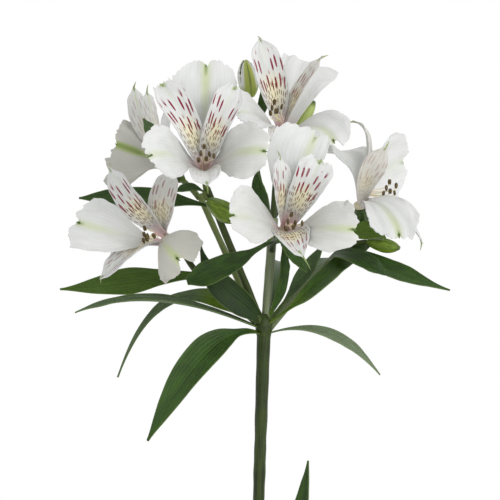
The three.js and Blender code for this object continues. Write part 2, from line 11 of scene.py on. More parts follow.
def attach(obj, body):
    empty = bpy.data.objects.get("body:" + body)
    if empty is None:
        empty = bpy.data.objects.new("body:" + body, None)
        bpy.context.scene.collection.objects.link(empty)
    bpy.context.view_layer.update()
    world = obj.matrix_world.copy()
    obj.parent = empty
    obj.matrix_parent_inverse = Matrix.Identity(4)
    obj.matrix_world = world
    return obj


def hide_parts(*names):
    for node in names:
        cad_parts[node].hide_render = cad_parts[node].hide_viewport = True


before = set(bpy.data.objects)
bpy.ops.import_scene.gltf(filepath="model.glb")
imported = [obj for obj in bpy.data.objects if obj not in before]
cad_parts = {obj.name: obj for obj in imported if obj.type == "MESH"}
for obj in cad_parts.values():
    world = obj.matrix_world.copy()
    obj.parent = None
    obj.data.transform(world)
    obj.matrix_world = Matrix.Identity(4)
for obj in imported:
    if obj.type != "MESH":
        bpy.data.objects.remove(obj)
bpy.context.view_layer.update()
scene = bpy.context.scene
mm = 0.001
noise.seed_set(5)  # without it the noise vectors differ from run to run


# Camera, level with the umbel.
cameraSettings = {
    "across": -2.5,
    "height": 307.0,
    "distance": 1600.0,
    "frameWidth": 250.0,  # spanned at the stem
    "sensorWidth": 36.0,
    "sight": 30.0,  # in metres
}


def makeCamera(settings):
    camera = bpy.data.cameras.new("camera")
    camera.sensor_width = settings["sensorWidth"]
    camera.lens = settings["sensorWidth"] * settings["distance"] / settings["frameWidth"]
    camera.clip_end = settings["sight"]
    holder = bpy.data.objects.new("camera", camera)
    holder.location = Vector((settings["across"], -settings["distance"], settings["height"])) * mm
    holder.rotation_euler = (math.pi / 2, 0, 0)
    scene.collection.objects.link(holder)
    scene.camera = holder


makeCamera(cameraSettings)
print("camera placed")


# Node maths. A Signal is one output of a material's nodes, and sums of signals add Math nodes.
class Signal:
    def __init__(self, finish, socket):
        self.finish = finish
        self.socket = socket

    def math(self, operation, *values):
        return self.finish.node("ShaderNodeMath", {"operation": operation}, dict(enumerate(values)))

    def __add__(self, other):
        return self.math("ADD", self, other)

    def __radd__(self, other):
        return self.math("ADD", other, self)

    def __sub__(self, other):
        return self.math("SUBTRACT", self, other)

    def __rsub__(self, other):
        return self.math("SUBTRACT", other, self)

    def __mul__(self, other):
        return self.math("MULTIPLY", self, other)

    def __rmul__(self, other):
        return self.math("MULTIPLY", other, self)

    def __truediv__(self, other):
        return self.math("DIVIDE", self, other)

    def __pow__(self, other):
        return self.math("POWER", self, other)

    def __abs__(self):
        return self.math("ABSOLUTE", self)

    def floor(self):
        return self.math("FLOOR", self)

    def cosine(self):
        return self.math("COSINE", self)

    def largest(self, other):
        return self.math("MAXIMUM", self, other)

    def above(self, level):
        return self.math("GREATER_THAN", self, level)

    # 0 below low, 1 above high and smooth between, or the other way round when low is the larger.
    def rise(self, low, high):
        limits = {0: self, 1: min(low, high), 2: max(low, high)}
        if low > high:
            limits[3] = 1.0
            limits[4] = 0.0
        return self.finish.node("ShaderNodeMapRange", {"interpolation_type": "SMOOTHSTEP"}, limits)


# A material, which starts as one ground colour and gets others laid over it.
class Finish:
    def __init__(self, name, ground, **shader):
        self.material = bpy.data.materials.new(name)
        self.material.use_nodes = True
        self.nodes = self.material.node_tree.nodes
        self.links = self.material.node_tree.links
        self.shader = self.nodes["Principled BSDF"]
        self.color = ground
        self.set(**shader)

    def node(self, kind, settings=None, sockets=None, output=0):
        node = self.nodes.new(kind)
        for key, value in (settings or {}).items():
            setattr(node, key, value)
        for key, value in (sockets or {}).items():
            self.feed(node.inputs[key], value)
        return Signal(self, node.outputs[output])

    def feed(self, socket, value):
        if isinstance(value, Signal):
            self.links.new(value.socket, socket)
        else:
            socket.default_value = value

    def set(self, **values):
        for name, value in values.items():
            self.feed(self.shader.inputs[name.replace("_", " ")], value)

    # Mixes a colour into the base colour. Inputs 6 and 7 and output 2 are the Mix node's colours.
    def lay(self, share, color):
        kind = {"data_type": "RGBA", "clamp_factor": True}
        self.color = self.node("ShaderNodeMix", kind, {0: share, 6: self.color, 7: color}, 2)
        self.set(Base_Color=self.color)

    def parts(self, vector):
        split = self.node("ShaderNodeSeparateXYZ", sockets={0: vector}).socket.node
        return [Signal(self, output) for output in split.outputs]

    # Three numbers from the mesh. A course says how far across or around and how far along, and a
    # seed. A tone says how strong the keel, the marks and the painted shade of a petal are, or how
    # pale, how lime and how light a green piece is; a lime below 0 is painted shade that darkens a
    # leaf.
    def read(self, attribute):
        return self.parts(self.node("ShaderNodeAttribute", {"attribute_name": attribute}, output=1))

    def place(self):
        return self.node("ShaderNodeTexCoord", output=3)

    def stretched(self, vector, scale):
        return self.node("ShaderNodeVectorMath", {"operation": "MULTIPLY"}, {0: vector, 1: scale})

    def vector(self, x, y, z):
        return self.node("ShaderNodeCombineXYZ", sockets={0: x, 1: y, 2: z})

    def grain(self, vector, scale, detail=2.0, roughness=0.5):
        sockets = {"Vector": vector, "Scale": scale, "Detail": detail, "Roughness": roughness}
        return self.node("ShaderNodeTexNoise", sockets=sockets)

    def chance(self, number):
        return self.node("ShaderNodeTexWhiteNoise", {"noise_dimensions": "1D"}, {"W": number})

    def bump(self, height, distance, strength):
        sockets = {"Height": height, "Distance": distance * mm, "Strength": strength}
        self.set(Normal=self.node("ShaderNodeBump", sockets=sockets))


# A colour from its screen values, 0 to 255.
def paint(*channels):
    linear = [((c / 255 + 0.055) / 1.055) ** 2.4 for c in channels]
    return (*linear, 1.0)


# Small dashes in rows along a petal's veins, which spread towards its tip.
def dashes(finish, across, along, seed, columns, rows, width, length, present):
    lane = (across * (0.8 - along * 0.42) + 0.5) * columns
    column = lane.floor()
    run = along * rows + finish.chance(column * 3.71 + seed * 11.3)
    cell = run.floor()
    luck = finish.chance(cell * 5.13 + column * 17.31 + seed * 2.9)
    sideways = abs(lane - column - 0.5 + (luck - 0.5) * 0.35)
    lengthways = abs(run - cell - 0.5) * (2.0 / length)
    edge = (1.0 - lengthways ** 4.0) * width - sideways
    return edge.rise(0.0, 0.07) * luck.above(1.0 - present)


# The fine lengthwise veins of a petal or leaf, as a wave from 0 to 1.
def veins(finish, across, along, seed, count, waver):
    swerve = finish.grain(finish.vector(across * 2.0, along * 1.5, seed * 3.1), 2.0, 1.0)
    wave = ((across + (swerve - 0.5) * waver) * (math.pi * count)).cosine()
    return wave * 0.5 + 0.5


petalColors = {
    "white": paint(202, 203, 202),
    "shade": paint(190, 191, 187),
    "vein": paint(174, 177, 166),
    "keel": paint(176, 188, 132),
    "keelDeep": paint(92, 116, 34),
    "yellow": paint(230, 221, 180),
    "pink": paint(230, 198, 198),
    "crimson": paint(118, 12, 40),
    "brown": paint(92, 46, 28),
    "tip": paint(140, 156, 104),
}
petalShader = {
    "Roughness": 0.6,
    "Subsurface_Weight": 0.1,
    "Subsurface_Scale": 0.003,
    "Subsurface_Radius": (1.0, 1.0, 1.0),
    "Specular_IOR_Level": 0.2,
}
insideMarks = {"yellow": 0.75, "pink": 0.85, "keel": 0.3, "crimson": 1.0, "brown": 0.95}
outsideMarks = {"yellow": 0.25, "pink": 0.45, "keel": 0.7, "crimson": 0.45, "brown": 0.1}
strokeSettings = {"columns": 7, "rows": 5.5, "width": 0.24, "length": 0.76, "present": 0.84}
fleckSettings = {"columns": 12, "rows": 14.0, "width": 0.25, "length": 0.74, "present": 0.76}


# Inner petals: crimson strokes towards the tip, brown flecks on a yellow ground, a pink throat.
def stripedPetal(name, marks):
    colors = petalColors
    finish = Finish(name, colors["white"], **petalShader)
    across, along, seed = finish.read("course")
    keelTone, markTone, paintedShadeTone = finish.read("tone")
    size = abs(across)
    fine = veins(finish, across, along, seed, count=15, waver=0.10)
    mottle = finish.grain(finish.vector(across * 2.0, along * 3.0, seed), 2.5, 3.0)
    finish.lay(mottle.rise(0.35, 0.75) * 0.7, colors["shade"])
    finish.lay(fine * fine * 0.3 * along.rise(1.0, 0.5), colors["vein"])
    middle = (1.0 - size * size).largest(0.0)
    field = along.rise(0.24, 0.42) * along.rise(0.70, 0.5) * middle * middle
    finish.lay(field * markTone.rise(0.0, 0.8) * marks["yellow"], colors["yellow"])
    # The pink throat fades on petals that are given painted shade.
    throat = along.rise(0.32, 0.08) * (1.0 - paintedShadeTone * 0.9)
    finish.lay(throat * marks["pink"], colors["pink"])
    keel = size.rise(0.14, 0.0) * along.rise(0.55, 0.92) * keelTone
    finish.lay(keel * marks["keel"], colors["keel"])
    strokes = dashes(finish, across, along, seed, **strokeSettings)
    field = along.rise(0.44, 0.52) * along.rise(0.9, 0.82) * size.rise(0.98, 0.9)
    gap = 1.0 - size.rise(0.26, 0.14) * along.rise(0.62, 0.7)
    finish.lay(strokes * field * gap * markTone * marks["crimson"], colors["crimson"])
    flecks = dashes(finish, across, along, seed + 3.3, **fleckSettings)
    field = along.rise(0.18, 0.28) * along.rise(0.62, 0.54) * size.rise(0.96, 0.85)
    finish.lay(flecks * field * markTone * marks["brown"], colors["brown"])
    finish.lay(along.rise(0.94, 0.995) * size.rise(0.5, 0.1), colors["tip"])
    # Painted shade: a petal that lies in the shade of others is greyed by its shade tone.
    finish.lay(paintedShadeTone * 0.5, paint(176, 168, 150))
    finish.bump(fine * 0.3 + mottle * 0.7, 0.4, 0.4)
    return finish.material


# Outer tepals: white, with a green keel that runs in from the notch, stronger on the outside.
def keeledTepal(name, inside):
    colors = petalColors
    finish = Finish(name, colors["white"], **petalShader)
    across, along, seed = finish.read("course")
    keelTone, _, paintedShadeTone = finish.read("tone")
    size = abs(across)
    fine = veins(finish, across, along, seed, count=17, waver=0.12)
    mottle = finish.grain(finish.vector(across * 2.0, along * 2.6, seed), 2.2, 3.0)
    finish.lay(mottle.rise(0.35, 0.8) * 0.6, colors["shade"])
    finish.lay(fine * fine * 0.24 * along.rise(1.05, 0.4), colors["vein"])
    finish.lay(along.rise(0.34, 0.12) * (0.35 if inside else 0.2), colors["pink"])
    # Painted shade: a tepal that lies in the shade of others is greyed by its shade tone.
    finish.lay(paintedShadeTone * 0.5, paint(168, 166, 154))
    if inside:
        keel = size.rise(0.26, 0.0) * along.rise(0.3, 0.9)
        core = size.rise(0.1, 0.0) * along.rise(0.88, 0.99)
    else:
        keel = size.rise(0.17, 0.04) * along.rise(0.05, 0.75)
        core = (size / keelTone.largest(0.4)).rise(0.12, 0.0) * (along * keelTone).rise(0.5, 0.95)
    finish.lay(keel * keelTone * 0.8, colors["keel"])
    finish.lay(core * keelTone.rise(0.0, 0.3) * 0.7, colors["keelDeep"])
    finish.bump(fine * 0.25 + mottle * 0.75, 0.4, 0.4)
    return finish.material


# The tepals of a bud about to open: lime along the keel, white along the ruffled margins.
def openingTepal(name):
    finish = Finish(name, petalColors["white"], **petalShader)
    across, along, seed = finish.read("course")
    size = abs(across)
    fine = veins(finish, across, along, seed, count=13, waver=0.12)
    finish.lay(size.rise(0.72, 0.42), paint(150, 160, 62))
    finish.lay(along.rise(0.45, 0.1), paint(134, 152, 48))
    finish.lay(size.rise(0.2, 0.02) * along.rise(0.02, 0.5) * 0.8, paint(74, 92, 28))
    finish.lay(fine * 0.25, paint(196, 200, 160))
    finish.bump(fine, 0.3, 0.4)
    return finish.material


# Buds: yellow-green between darker ribs, darker again at the tip.
def budSkin(name):
    finish = Finish(name, paint(76, 100, 16), Roughness=0.42, Specular_IOR_Level=0.35)
    around, along, seed = finish.read("course")
    _, _, lightTone = finish.read("tone")
    ribs = (around * (math.pi * 6.0)).cosine() * 0.5 + 0.5
    streak = finish.grain(finish.vector(around * 8.0, along * 2.0, seed), 3.0, 3.0)
    finish.lay(streak.rise(0.3, 0.7), paint(116, 140, 32))
    finish.lay(ribs ** 4.0 * 0.6, paint(66, 94, 18))
    finish.lay(along.rise(0.3, 0.0) * 0.6, paint(70, 98, 22))
    finish.lay(lightTone * (streak * 0.5 + 0.5), paint(190, 204, 128))
    finish.lay(along.rise(0.84, 0.99), paint(74, 92, 34))
    finish.bump(ribs * 0.5 + streak * 0.5, 0.4, 0.5)
    return finish.material


# Stalks, ovaries, throats and petal points: streaked along their length.
def plainGreen(name, light, dark, roughness=0.5):
    finish = Finish(name, dark, Roughness=roughness, Specular_IOR_Level=0.3)
    around, along, seed = finish.read("course")
    paleTone, _, lightTone = finish.read("tone")
    streak = finish.grain(finish.vector(around * 9.0, along * 5.0, seed * 3.7), 2.0, 3.0)
    patch = finish.grain(finish.place(), 90.0)
    finish.lay((streak * 0.7 + patch * 0.3).rise(0.36, 0.64), light)
    finish.lay(lightTone * (streak * 0.4 + 0.6), paint(122, 138, 64))
    finish.lay(paleTone * (streak * 0.5 + 0.5), paint(150, 160, 136))
    finish.bump(streak, 0.2, 0.4)
    return finish.material


upperColors = {"light": paint(44, 75, 14), "deep": paint(29, 55, 10), "vein": paint(72, 100, 34)}
underColors = {"light": paint(70, 92, 48), "deep": paint(50, 74, 34), "vein": paint(98, 118, 76)}


# Leaves: lengthwise veins and a midrib. A lime tone below 0 is painted shade: it darkens a leaf that
# lies in shadow.
def leafSide(name, colors):
    finish = Finish(name, colors["deep"], Specular_IOR_Level=0.3)
    across, along, seed = finish.read("course")
    paleTone, limeOrPaintedShadeTone, lightTone = finish.read("tone")
    size = abs(across)
    broad = veins(finish, across, along, seed, count=9, waver=0.06)
    fine = veins(finish, across, along, seed + 1.7, count=33, waver=0.07)
    patch = finish.grain(finish.vector(across, along * 5.0, seed * 7.3), 1.6, 4.0)
    finish.lay(patch.rise(0.3, 0.7), colors["light"])
    finish.lay(broad ** 8.0 * 0.3, colors["vein"])
    finish.lay(fine ** 3.0 * 0.16, colors["vein"])
    finish.lay(size.rise(0.05, 0.0) * along.rise(0.98, 0.6) * 0.4, colors["vein"])
    finish.lay(paleTone * (patch * 0.5 + 0.5), paint(120, 134, 106))
    # Painted shade: a lime tone below 0 darkens the leaf towards deep green.
    finish.lay(limeOrPaintedShadeTone * -1.0, paint(5, 24, 3))
    lime = limeOrPaintedShadeTone * (patch * 0.5 + 0.5) + along.rise(0.46, 0.26) * lightTone
    finish.lay(along.rise(0.14, 0.02) * 0.5 + lime, paint(88, 116, 24))
    finish.lay(size.rise(0.93, 1.0) * 0.4, paint(104, 122, 58))
    finish.set(Roughness=patch * 0.2 + 0.36)
    finish.bump(broad * 0.6 + fine * 0.4, 0.25, 0.4)
    return finish.material


def pollenBrown(name):
    finish = Finish(name, paint(52, 38, 26), Roughness=0.8, Specular_IOR_Level=0.25)
    dust = finish.grain(finish.place(), 1800.0, 3.0)
    finish.lay(dust.rise(0.35, 0.7), paint(112, 98, 60))
    finish.bump(dust, 0.12, 0.6)
    return finish.material


def filamentCream(name):
    finish = Finish(name, paint(238, 205, 205), Roughness=0.5, Specular_IOR_Level=0.3)
    _, along, _ = finish.read("course")
    speck = finish.grain(finish.place(), 700.0)
    finish.lay(along.rise(0.1, 0.7), paint(236, 230, 196))
    finish.lay(speck.rise(0.55, 0.75) * 0.3, paint(206, 170, 160))
    return finish.material


# Clay, sandy and cloudy, with faint turning rings and chalk near the foot.
def firedClay(name):
    finish = Finish(name, paint(156, 98, 74), Specular_IOR_Level=0.25)
    place = finish.place()
    height = finish.parts(place)[2]
    cloud = finish.grain(place, 14.0, 5.0, 0.6)
    sand = finish.grain(place, 900.0, 3.0, 0.7)
    rings = finish.grain(finish.stretched(place, (2.0, 2.0, 260.0)), 1.0)
    finish.lay(cloud.rise(0.35, 0.68), paint(178, 122, 94))
    finish.lay(sand.rise(0.6, 0.8) * 0.35, paint(140, 78, 54))
    chalk = cloud.rise(0.5, 0.72) * height.rise(0.045, 0.0) + rings.rise(0.58, 0.75) * 0.25
    finish.lay(chalk * 0.5, paint(214, 182, 158))
    finish.set(Roughness=sand * 0.2 + 0.72)
    finish.bump(sand * 0.5 + rings * 0.5, 0.35, 0.5)
    return finish.material


def pottingSoil(name, dark, light, scale):
    finish = Finish(name, dark, Specular_IOR_Level=0.2)
    place = finish.place()
    clod = finish.grain(place, scale, 6.0, 0.65)
    crumb = finish.grain(place, scale * 6, 3.0, 0.6)
    finish.lay(clod.rise(0.32, 0.7), light)
    finish.set(Roughness=crumb * 0.2 + 0.78)
    finish.bump(clod * 0.5 + crumb * 0.5, 0.9, 0.8)
    return finish.material


tepalSides = [keeledTepal("tepalInside", True), keeledTepal("tepalOutside", False)]
petalSides = [stripedPetal("petalInside", insideMarks), stripedPetal("petalOutside", outsideMarks)]
leafSides = [leafSide("leafUpper", upperColors), leafSide("leafUnder", underColors)]
throatGreen = plainGreen("throatGreen", paint(208, 204, 176), paint(196, 186, 160))
mucroGreen = plainGreen("mucroGreen", paint(84, 108, 34), paint(46, 68, 18))
tipGreen = plainGreen("tipGreen", paint(150, 164, 112), paint(110, 130, 70))
stemGreen = plainGreen("stemGreen", paint(50, 66, 14), paint(26, 36, 6))
ovaryGreen = plainGreen("ovaryGreen", paint(70, 98, 30), paint(34, 56, 16), roughness=0.4)
antherBrown = pollenBrown("antherBrown")
filamentPale = filamentCream("filamentPale")
budGreen = budSkin("budGreen")
budWhite = openingTepal("budWhite")
clay = firedClay("firedClay")
soilDark = pottingSoil("soilDark", paint(34, 24, 18), paint(78, 58, 42), 160.0)
barkBrown = pottingSoil("barkBrown", paint(66, 42, 26), paint(120, 84, 56), 240.0)
gritWhite = pottingSoil("gritWhite", paint(178, 172, 160), paint(226, 222, 212), 400.0)
print("materials made")


# Making pieces.
def startMesh():
    bm = bmesh.new()
    bm.verts.layers.float_vector.new("course")
    bm.verts.layers.float_vector.new("tone")
    return bm


def finishPiece(name, bm, materials, nodes, sharpAngle=50):
    mesh = bpy.data.meshes.new(name)
    bm.normal_update()
    bm.to_mesh(mesh)
    bm.free()
    for material in materials:
        mesh.materials.append(material)
    mesh.set_sharp_from_angle(angle=math.radians(sharpAngle))
    piece = bpy.data.objects.new(name, mesh)
    scene.collection.objects.link(piece)
    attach(piece, "root")
    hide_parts(*nodes)


def facesOf(verts):
    return list({face for vert in verts for face in vert.link_faces})


def dress(faces, materialIndex):
    for face in faces:
        face.material_index = materialIndex
        face.smooth = True


# From 0 to 1 in equal steps.
def sharesOf(steps):
    return [step / steps for step in range(steps + 1)]


def bezierPoint(path, share):
    rest = 1 - share
    weights = (rest ** 3, 3 * rest * rest * share, 3 * rest * share * share, share ** 3)
    return sum((point * weight for point, weight in zip(path, weights)), Vector())


def bezierHeading(path, share):
    rest = 1 - share
    weights = (rest * rest, 2 * rest * share, share * share)
    steps = [path[index + 1] - path[index] for index in range(3)]
    return sum((step * weight for step, weight in zip(steps, weights)), Vector()).normalized()


# A smooth curve through the values of a list, at a place from 0 to 1.
def between(values, place):
    step = min(max(place, 0.0), 1.0) * (len(values) - 1)
    low = min(int(step), len(values) - 2)
    share = step - low
    before = values[max(low - 1, 0)]
    after = values[min(low + 2, len(values) - 1)]
    first, second = values[low], values[low + 1]
    slopeIn = (second - before) / 2
    slopeOut = (after - first) / 2
    square, cube = share * share, share ** 3
    return (first * (2 * cube - 3 * square + 1) + slopeIn * (cube - 2 * square + share)
            + second * (3 * square - 2 * cube) + slopeOut * (cube - square))


def ease(value, low, high):
    share = min(max((value - low) / (high - low), 0.0), 1.0)
    return share * share * (3 - 2 * share)


# A tube swept along places, with a radius at each. Its course runs round from 1 to 0 and back.
def sweepTube(bm, places, radii, sides, materialIndex, seed, tone=(0, 0, 0)):
    courseLayer = bm.verts.layers.float_vector["course"]
    toneLayer = bm.verts.layers.float_vector["tone"]
    heading = (places[1] - places[0]).normalized()
    stand = Matrix.Translation(places[0] * mm) @ heading.to_track_quat("Z", "Y").to_matrix().to_4x4()
    start = bmesh.ops.create_circle(
        bm, cap_ends=True, segments=sides, radius=radii[0] * mm, matrix=stand)
    ring = start["verts"]
    made = list(ring)
    for index, vert in enumerate(ring):
        vert[courseLayer] = (abs(1 - 2 * index / sides), 0.0, seed)
    edges = list({edge for vert in ring for edge in vert.link_edges})
    for index in range(1, len(places)):
        grown = bmesh.ops.extrude_edge_only(bm, edges=edges)["geom"]
        ring = [item for item in grown if isinstance(item, bmesh.types.BMVert)]
        edges = [item for item in grown if isinstance(item, bmesh.types.BMEdge)]
        ahead = places[min(index + 1, len(places) - 1)] - places[index - 1]
        nextHeading = ahead.normalized()
        turn = heading.rotation_difference(nextHeading).to_matrix().to_4x4()
        move = (Matrix.Translation(places[index] * mm) @ turn
                @ Matrix.Scale(radii[index] / radii[index - 1], 4)
                @ Matrix.Translation(-places[index - 1] * mm))
        bmesh.ops.transform(bm, matrix=move, verts=ring)
        heading = nextHeading
        for vert in ring:
            vert[courseLayer] = (vert[courseLayer].x, index / (len(places) - 1), seed)
        made += ring
    for vert in made:
        vert[toneLayer] = tone
    bmesh.ops.edgeloop_fill(bm, edges=edges)
    faces = facesOf(made)
    bmesh.ops.recalc_face_normals(bm, faces=faces)
    dress(faces, materialIndex)
    return made


# Raises ribs round an axis that starts at foot.
def raiseRibs(verts, foot, axis, ribs, depth):
    side = axis.orthogonal().normalized()
    other = axis.cross(side)
    for vert in verts:
        arm = vert.co - foot * mm
        arm -= axis * arm.dot(axis)
        angle = math.atan2(arm.dot(other), arm.dot(side))
        vert.co += arm * depth * math.cos(ribs * angle)


# The kinds of blade, as in the solids, with finer waves, ribs and edges besides.
bladeKinds = {
    "outerTepal": {
        "widths": [0.12, 0.15, 0.26, 0.5, 0.76, 0.94, 1, 0.98, 0.86],
        "drawBack": 0.26, "notch": 0.07, "hollow": (0.8, 0.15), "skew": 0,
        "ringRadius": 2.7, "flare": 0.12, "waveHeight": 0.9, "waves": 2.3,
        "ruffle": 1.3, "nick": 0.055, "fold": 1.1, "rib": 0.02, "ribs": 9, "keel": 0.6,
        "across": 48, "along": 56, "thickness": 0.4,
        "tone": (0.5, 0.0, 0.0),
    },
    "innerPetal": {
        "widths": [0.2, 0.3, 0.54, 0.8, 0.97, 1, 0.92, 0.76, 0.07],
        "drawBack": 0, "notch": 0, "hollow": (1.1, 0.35), "skew": 0,
        "ringRadius": 1.8, "flare": 0.04, "waveHeight": 0.4, "waves": 2.1,
        "ruffle": 0.7, "nick": 0.035, "fold": 0.6, "rib": 0.02, "ribs": 8, "keel": 0.3,
        "across": 30, "along": 52, "thickness": 0.4,
        "tone": (0.8, 1.0, 0.0),
    },
    "budTepal": {
        "widths": [0.5, 0.84, 1, 1, 0.94, 0.84, 0.7, 0.5, 0.16],
        "drawBack": 0.1, "notch": 0, "hollow": (1.1, 0.9), "skew": 0,
        "waveHeight": 0, "waves": 1,
        "ruffle": 1.3, "nick": 0.05, "fold": 0.2, "rib": 0.05, "ribs": 5, "keel": -0.3,
        "across": 30, "along": 36, "thickness": 0.4,
        "tone": (1.0, 0.0, 0.0),
    },
    "leaf": {
        "widths": [0.16, 0.17, 0.38, 0.74, 0.97, 1, 0.84, 0.5, 0.07],
        "drawBack": 0, "notch": 0, "hollow": (0.8, 0.35), "skew": 0,
        "waveHeight": 0.5, "waves": 1.6,
        "ruffle": 0.5, "nick": 0.0, "fold": 0.4, "rib": 0.04, "ribs": 9, "keel": 0.3,
        "across": 36, "along": 56, "thickness": 0.5,
        "tone": (0.0, 0.0, 0.0),
    },
}

# What every kind shares. Each noise has its strength, its rate across and along, and a shift.
bladeSettings = {
    "cornerPower": 2.4, "notchSpread": 0.2, "edgeShift": 1.3, "narrowestHalf": 0.45,
    "frill": [(1.0, 4.5, 7, 0), (0.5, 11, 15, 0), (0.15, 24, 30, 0)], "frillGrows": (0.7, 1.0),
    "ruffle": [(1.0, 1.8, 8, 9), (0.6, 5, 14, 5)], "ruffleGrows": (0.3, 0.8), "rufflePower": 2.5,
    "fold": [(1.0, 2.6, 1.6, 2)], "foldGrows": (0.15, 0.6),
    "ribFade": 0.7, "keelSpread": 0.13, "keelFade": 0.5,
    "reliefGrows": (0.3, 3.5),  # with half the width
}


def crumple(noises, u, v, seed):
    return sum(strength * noise.noise(Vector((wide * u, far * v, seed + shift)))
               for strength, wide, far, shift in noises)


# The way across a blade as a whole.
def bladeSide(blade):
    chord = blade["path"][3] - blade["path"][0]
    return Vector(blade["face"]).cross(chord).normalized()


# A blade's heading at a place along it, the way across it there, and its upper side.
def bladeStand(blade, side, place):
    heading = bezierHeading(blade["path"], place)
    across = (side - heading * side.dot(heading)).normalized()
    turn = math.radians(blade.get("turn", 0)) * (place - 0.5)
    across = Matrix.Rotation(turn, 3, heading) @ across
    return heading, across, heading.cross(across)


# A point on a blade's middle surface, u from -1 to 1 across it and v from 0 to 1 along it.
def bladePoint(blade, kind, side, seed, u, v):
    shared = bladeSettings
    frill = kind["nick"] * crumple(shared["frill"], u, v, seed)
    drawnBack = (kind["drawBack"] * abs(u) ** shared["cornerPower"]
                 + kind["notch"] * math.exp(-((u / shared["notchSpread"]) ** 2)))
    place = v * (1 - drawnBack + frill * ease(v, *shared["frillGrows"]))
    half = max(0.5 * blade["width"] * between(kind["widths"], place), shared["narrowestHalf"])
    half *= 1 + kind["skew"] * u + frill * u * u
    _, across, upper = bladeStand(blade, side, place)
    hollowRoot, hollowTip = kind["hollow"]
    hollow = hollowRoot + (hollowTip - hollowRoot) * place
    bend = hollow * u
    phase = 2 * math.pi * kind["waves"] * place + shared["edgeShift"] * ((u > 0) - (u < 0))
    ruffle = crumple(shared["ruffle"], u, place, seed) * abs(u) ** shared["rufflePower"]
    fold = crumple(shared["fold"], u, place, seed)
    lift = kind["waveHeight"] * math.sin(phase) * u * u * place
    lift += kind["ruffle"] * ruffle * ease(place, *shared["ruffleGrows"])
    lift += kind["fold"] * fold * ease(place, *shared["foldGrows"])
    lift += kind["rib"] * math.cos(math.pi * kind["ribs"] * u) * (1 - shared["ribFade"] * abs(u))
    keel = kind["keel"] * math.exp(-((u / shared["keelSpread"]) ** 2))
    lift -= keel * (1 - shared["keelFade"] * place)
    lift *= ease(half, *shared["reliefGrows"])
    return (bezierPoint(blade["path"], place) + across * (half * math.sin(bend) / hollow)
            + upper * (half * (1 - math.cos(bend)) / hollow + lift))


# A thin blade with its upper side in one material and its under side in the next.
def addBlade(bm, blade, kindName, seed, materialIndex):
    courseLayer = bm.verts.layers.float_vector["course"]
    toneLayer = bm.verts.layers.float_vector["tone"]
    kind = {**bladeKinds[kindName], **blade}
    side = bladeSide(blade)
    grid = bmesh.ops.create_grid(
        bm, x_segments=kind["across"], y_segments=kind["along"], size=1)["verts"]
    for vert in grid:
        u, v = -vert.co.x, (vert.co.y + 1) / 2
        vert[courseLayer] = (u, v, seed)
        vert[toneLayer] = kind["tone"]
        vert.co = bladePoint(blade, kind, side, seed, u, v) * mm
    faces = facesOf(grid)
    dress(faces, materialIndex)
    for face in faces:
        face.normal_update()
    half = 0.5 * kind["thickness"] * mm
    middles = {tuple(vert[courseLayer]): (vert.co.copy(), averageNormal(vert)) for vert in grid}
    for vert in grid:
        middle, normal = middles[tuple(vert[courseLayer])]
        vert.co = middle + normal * half
    shell = bmesh.ops.solidify(bm, geom=faces, thickness=2 * half)["geom"]
    under = [item for item in shell if isinstance(item, bmesh.types.BMFace)]
    for face in under:
        face.material_index = materialIndex + 1
    for vert in {vert for face in under for vert in face.verts}:
        middle, normal = middles[tuple(vert[courseLayer])]
        vert.co = middle - normal * half


def averageNormal(vert):
    return sum((face.normal for face in vert.link_faces), Vector()).normalized()


# The pot: a tapered wall with a rim band, turned round the stem's axis.
potSettings = {
    "height": 118, "rimRadius": 66, "baseRadius": 45, "wall": 4, "rimHeight": 20, "rimStandOut": 3,
    "edge": 1, "turns": 128, "rounding": 0.8, "roundedAbove": 12,  # degrees
}


def makePot(settings):
    edge = settings["edge"]
    height = settings["height"]
    rimRadius = settings["rimRadius"]
    baseRadius = settings["baseRadius"]
    wall = settings["wall"]
    bandInside = rimRadius - settings["rimStandOut"]
    bandBottom = height - settings["rimHeight"]
    profile = [
        (0, 0),
        (baseRadius - 2 * edge, 0),
        (baseRadius, 2 * edge),
        (bandInside - 2 * edge, bandBottom),
        (rimRadius - edge, bandBottom + edge),
        (rimRadius, height - 2 * edge),
        (rimRadius - edge, height),
        (bandInside - wall + edge, height),
        (bandInside - wall, height - 2 * edge),
        (baseRadius - wall, wall),
        (0, wall),
    ]
    bm = startMesh()
    spinProfile(bm, profile, settings["turns"])
    sharpest = math.radians(settings["roundedAbove"])
    corners = [seam for seam in bm.edges if seam.calc_face_angle(0) > sharpest]
    bmesh.ops.bevel(bm, geom=corners, offset=settings["rounding"] * mm, affect="EDGES",
                    segments=3, profile=0.5, material=-1)
    dress(bm.faces, 0)
    finishPiece("potClay", bm, [clay], ["pot"], 80)


def spinProfile(bm, profile, turns):
    verts = [bm.verts.new(Vector((radius, 0, height)) * mm) for radius, height in profile]
    edges = [bm.edges.new(pair) for pair in zip(verts, verts[1:])]
    bmesh.ops.spin(bm, geom=verts + edges, cent=(0, 0, 0), axis=(0, 0, 1), angle=2 * math.pi,
                   steps=turns, use_merge=True)
    bmesh.ops.remove_doubles(bm, verts=bm.verts, dist=1e-6)
    bmesh.ops.recalc_face_normals(bm, faces=bm.faces)


makePot(potSettings)
print("pot made")


# The soil, lumpy on top, with crumbs, bark and grit lying on it.
soilSettings = {
    "height": 107, "edgeDrop": 2, "rings": 40, "turns": 144, "lump": 1.6, "clearance": 0.7,
    "aboveWall": 0.3, "reach": (0.012, 0.93), "fromEdge": 2, "tilt": 0.5, "narrow": (0.6, 0.9),
    "rough": 0.22, "seed": 11,
}
scatterSettings = [
    {"material": 0, "count": 420, "size": (1.1, 2.6), "flat": 0.75},  # crumbs
    {"material": 1, "count": 46, "size": (2.2, 4.6), "flat": 0.35},  # bark
    {"material": 2, "count": 34, "size": (0.8, 1.7), "flat": 0.75},  # grit
]
barkMaterial = 1


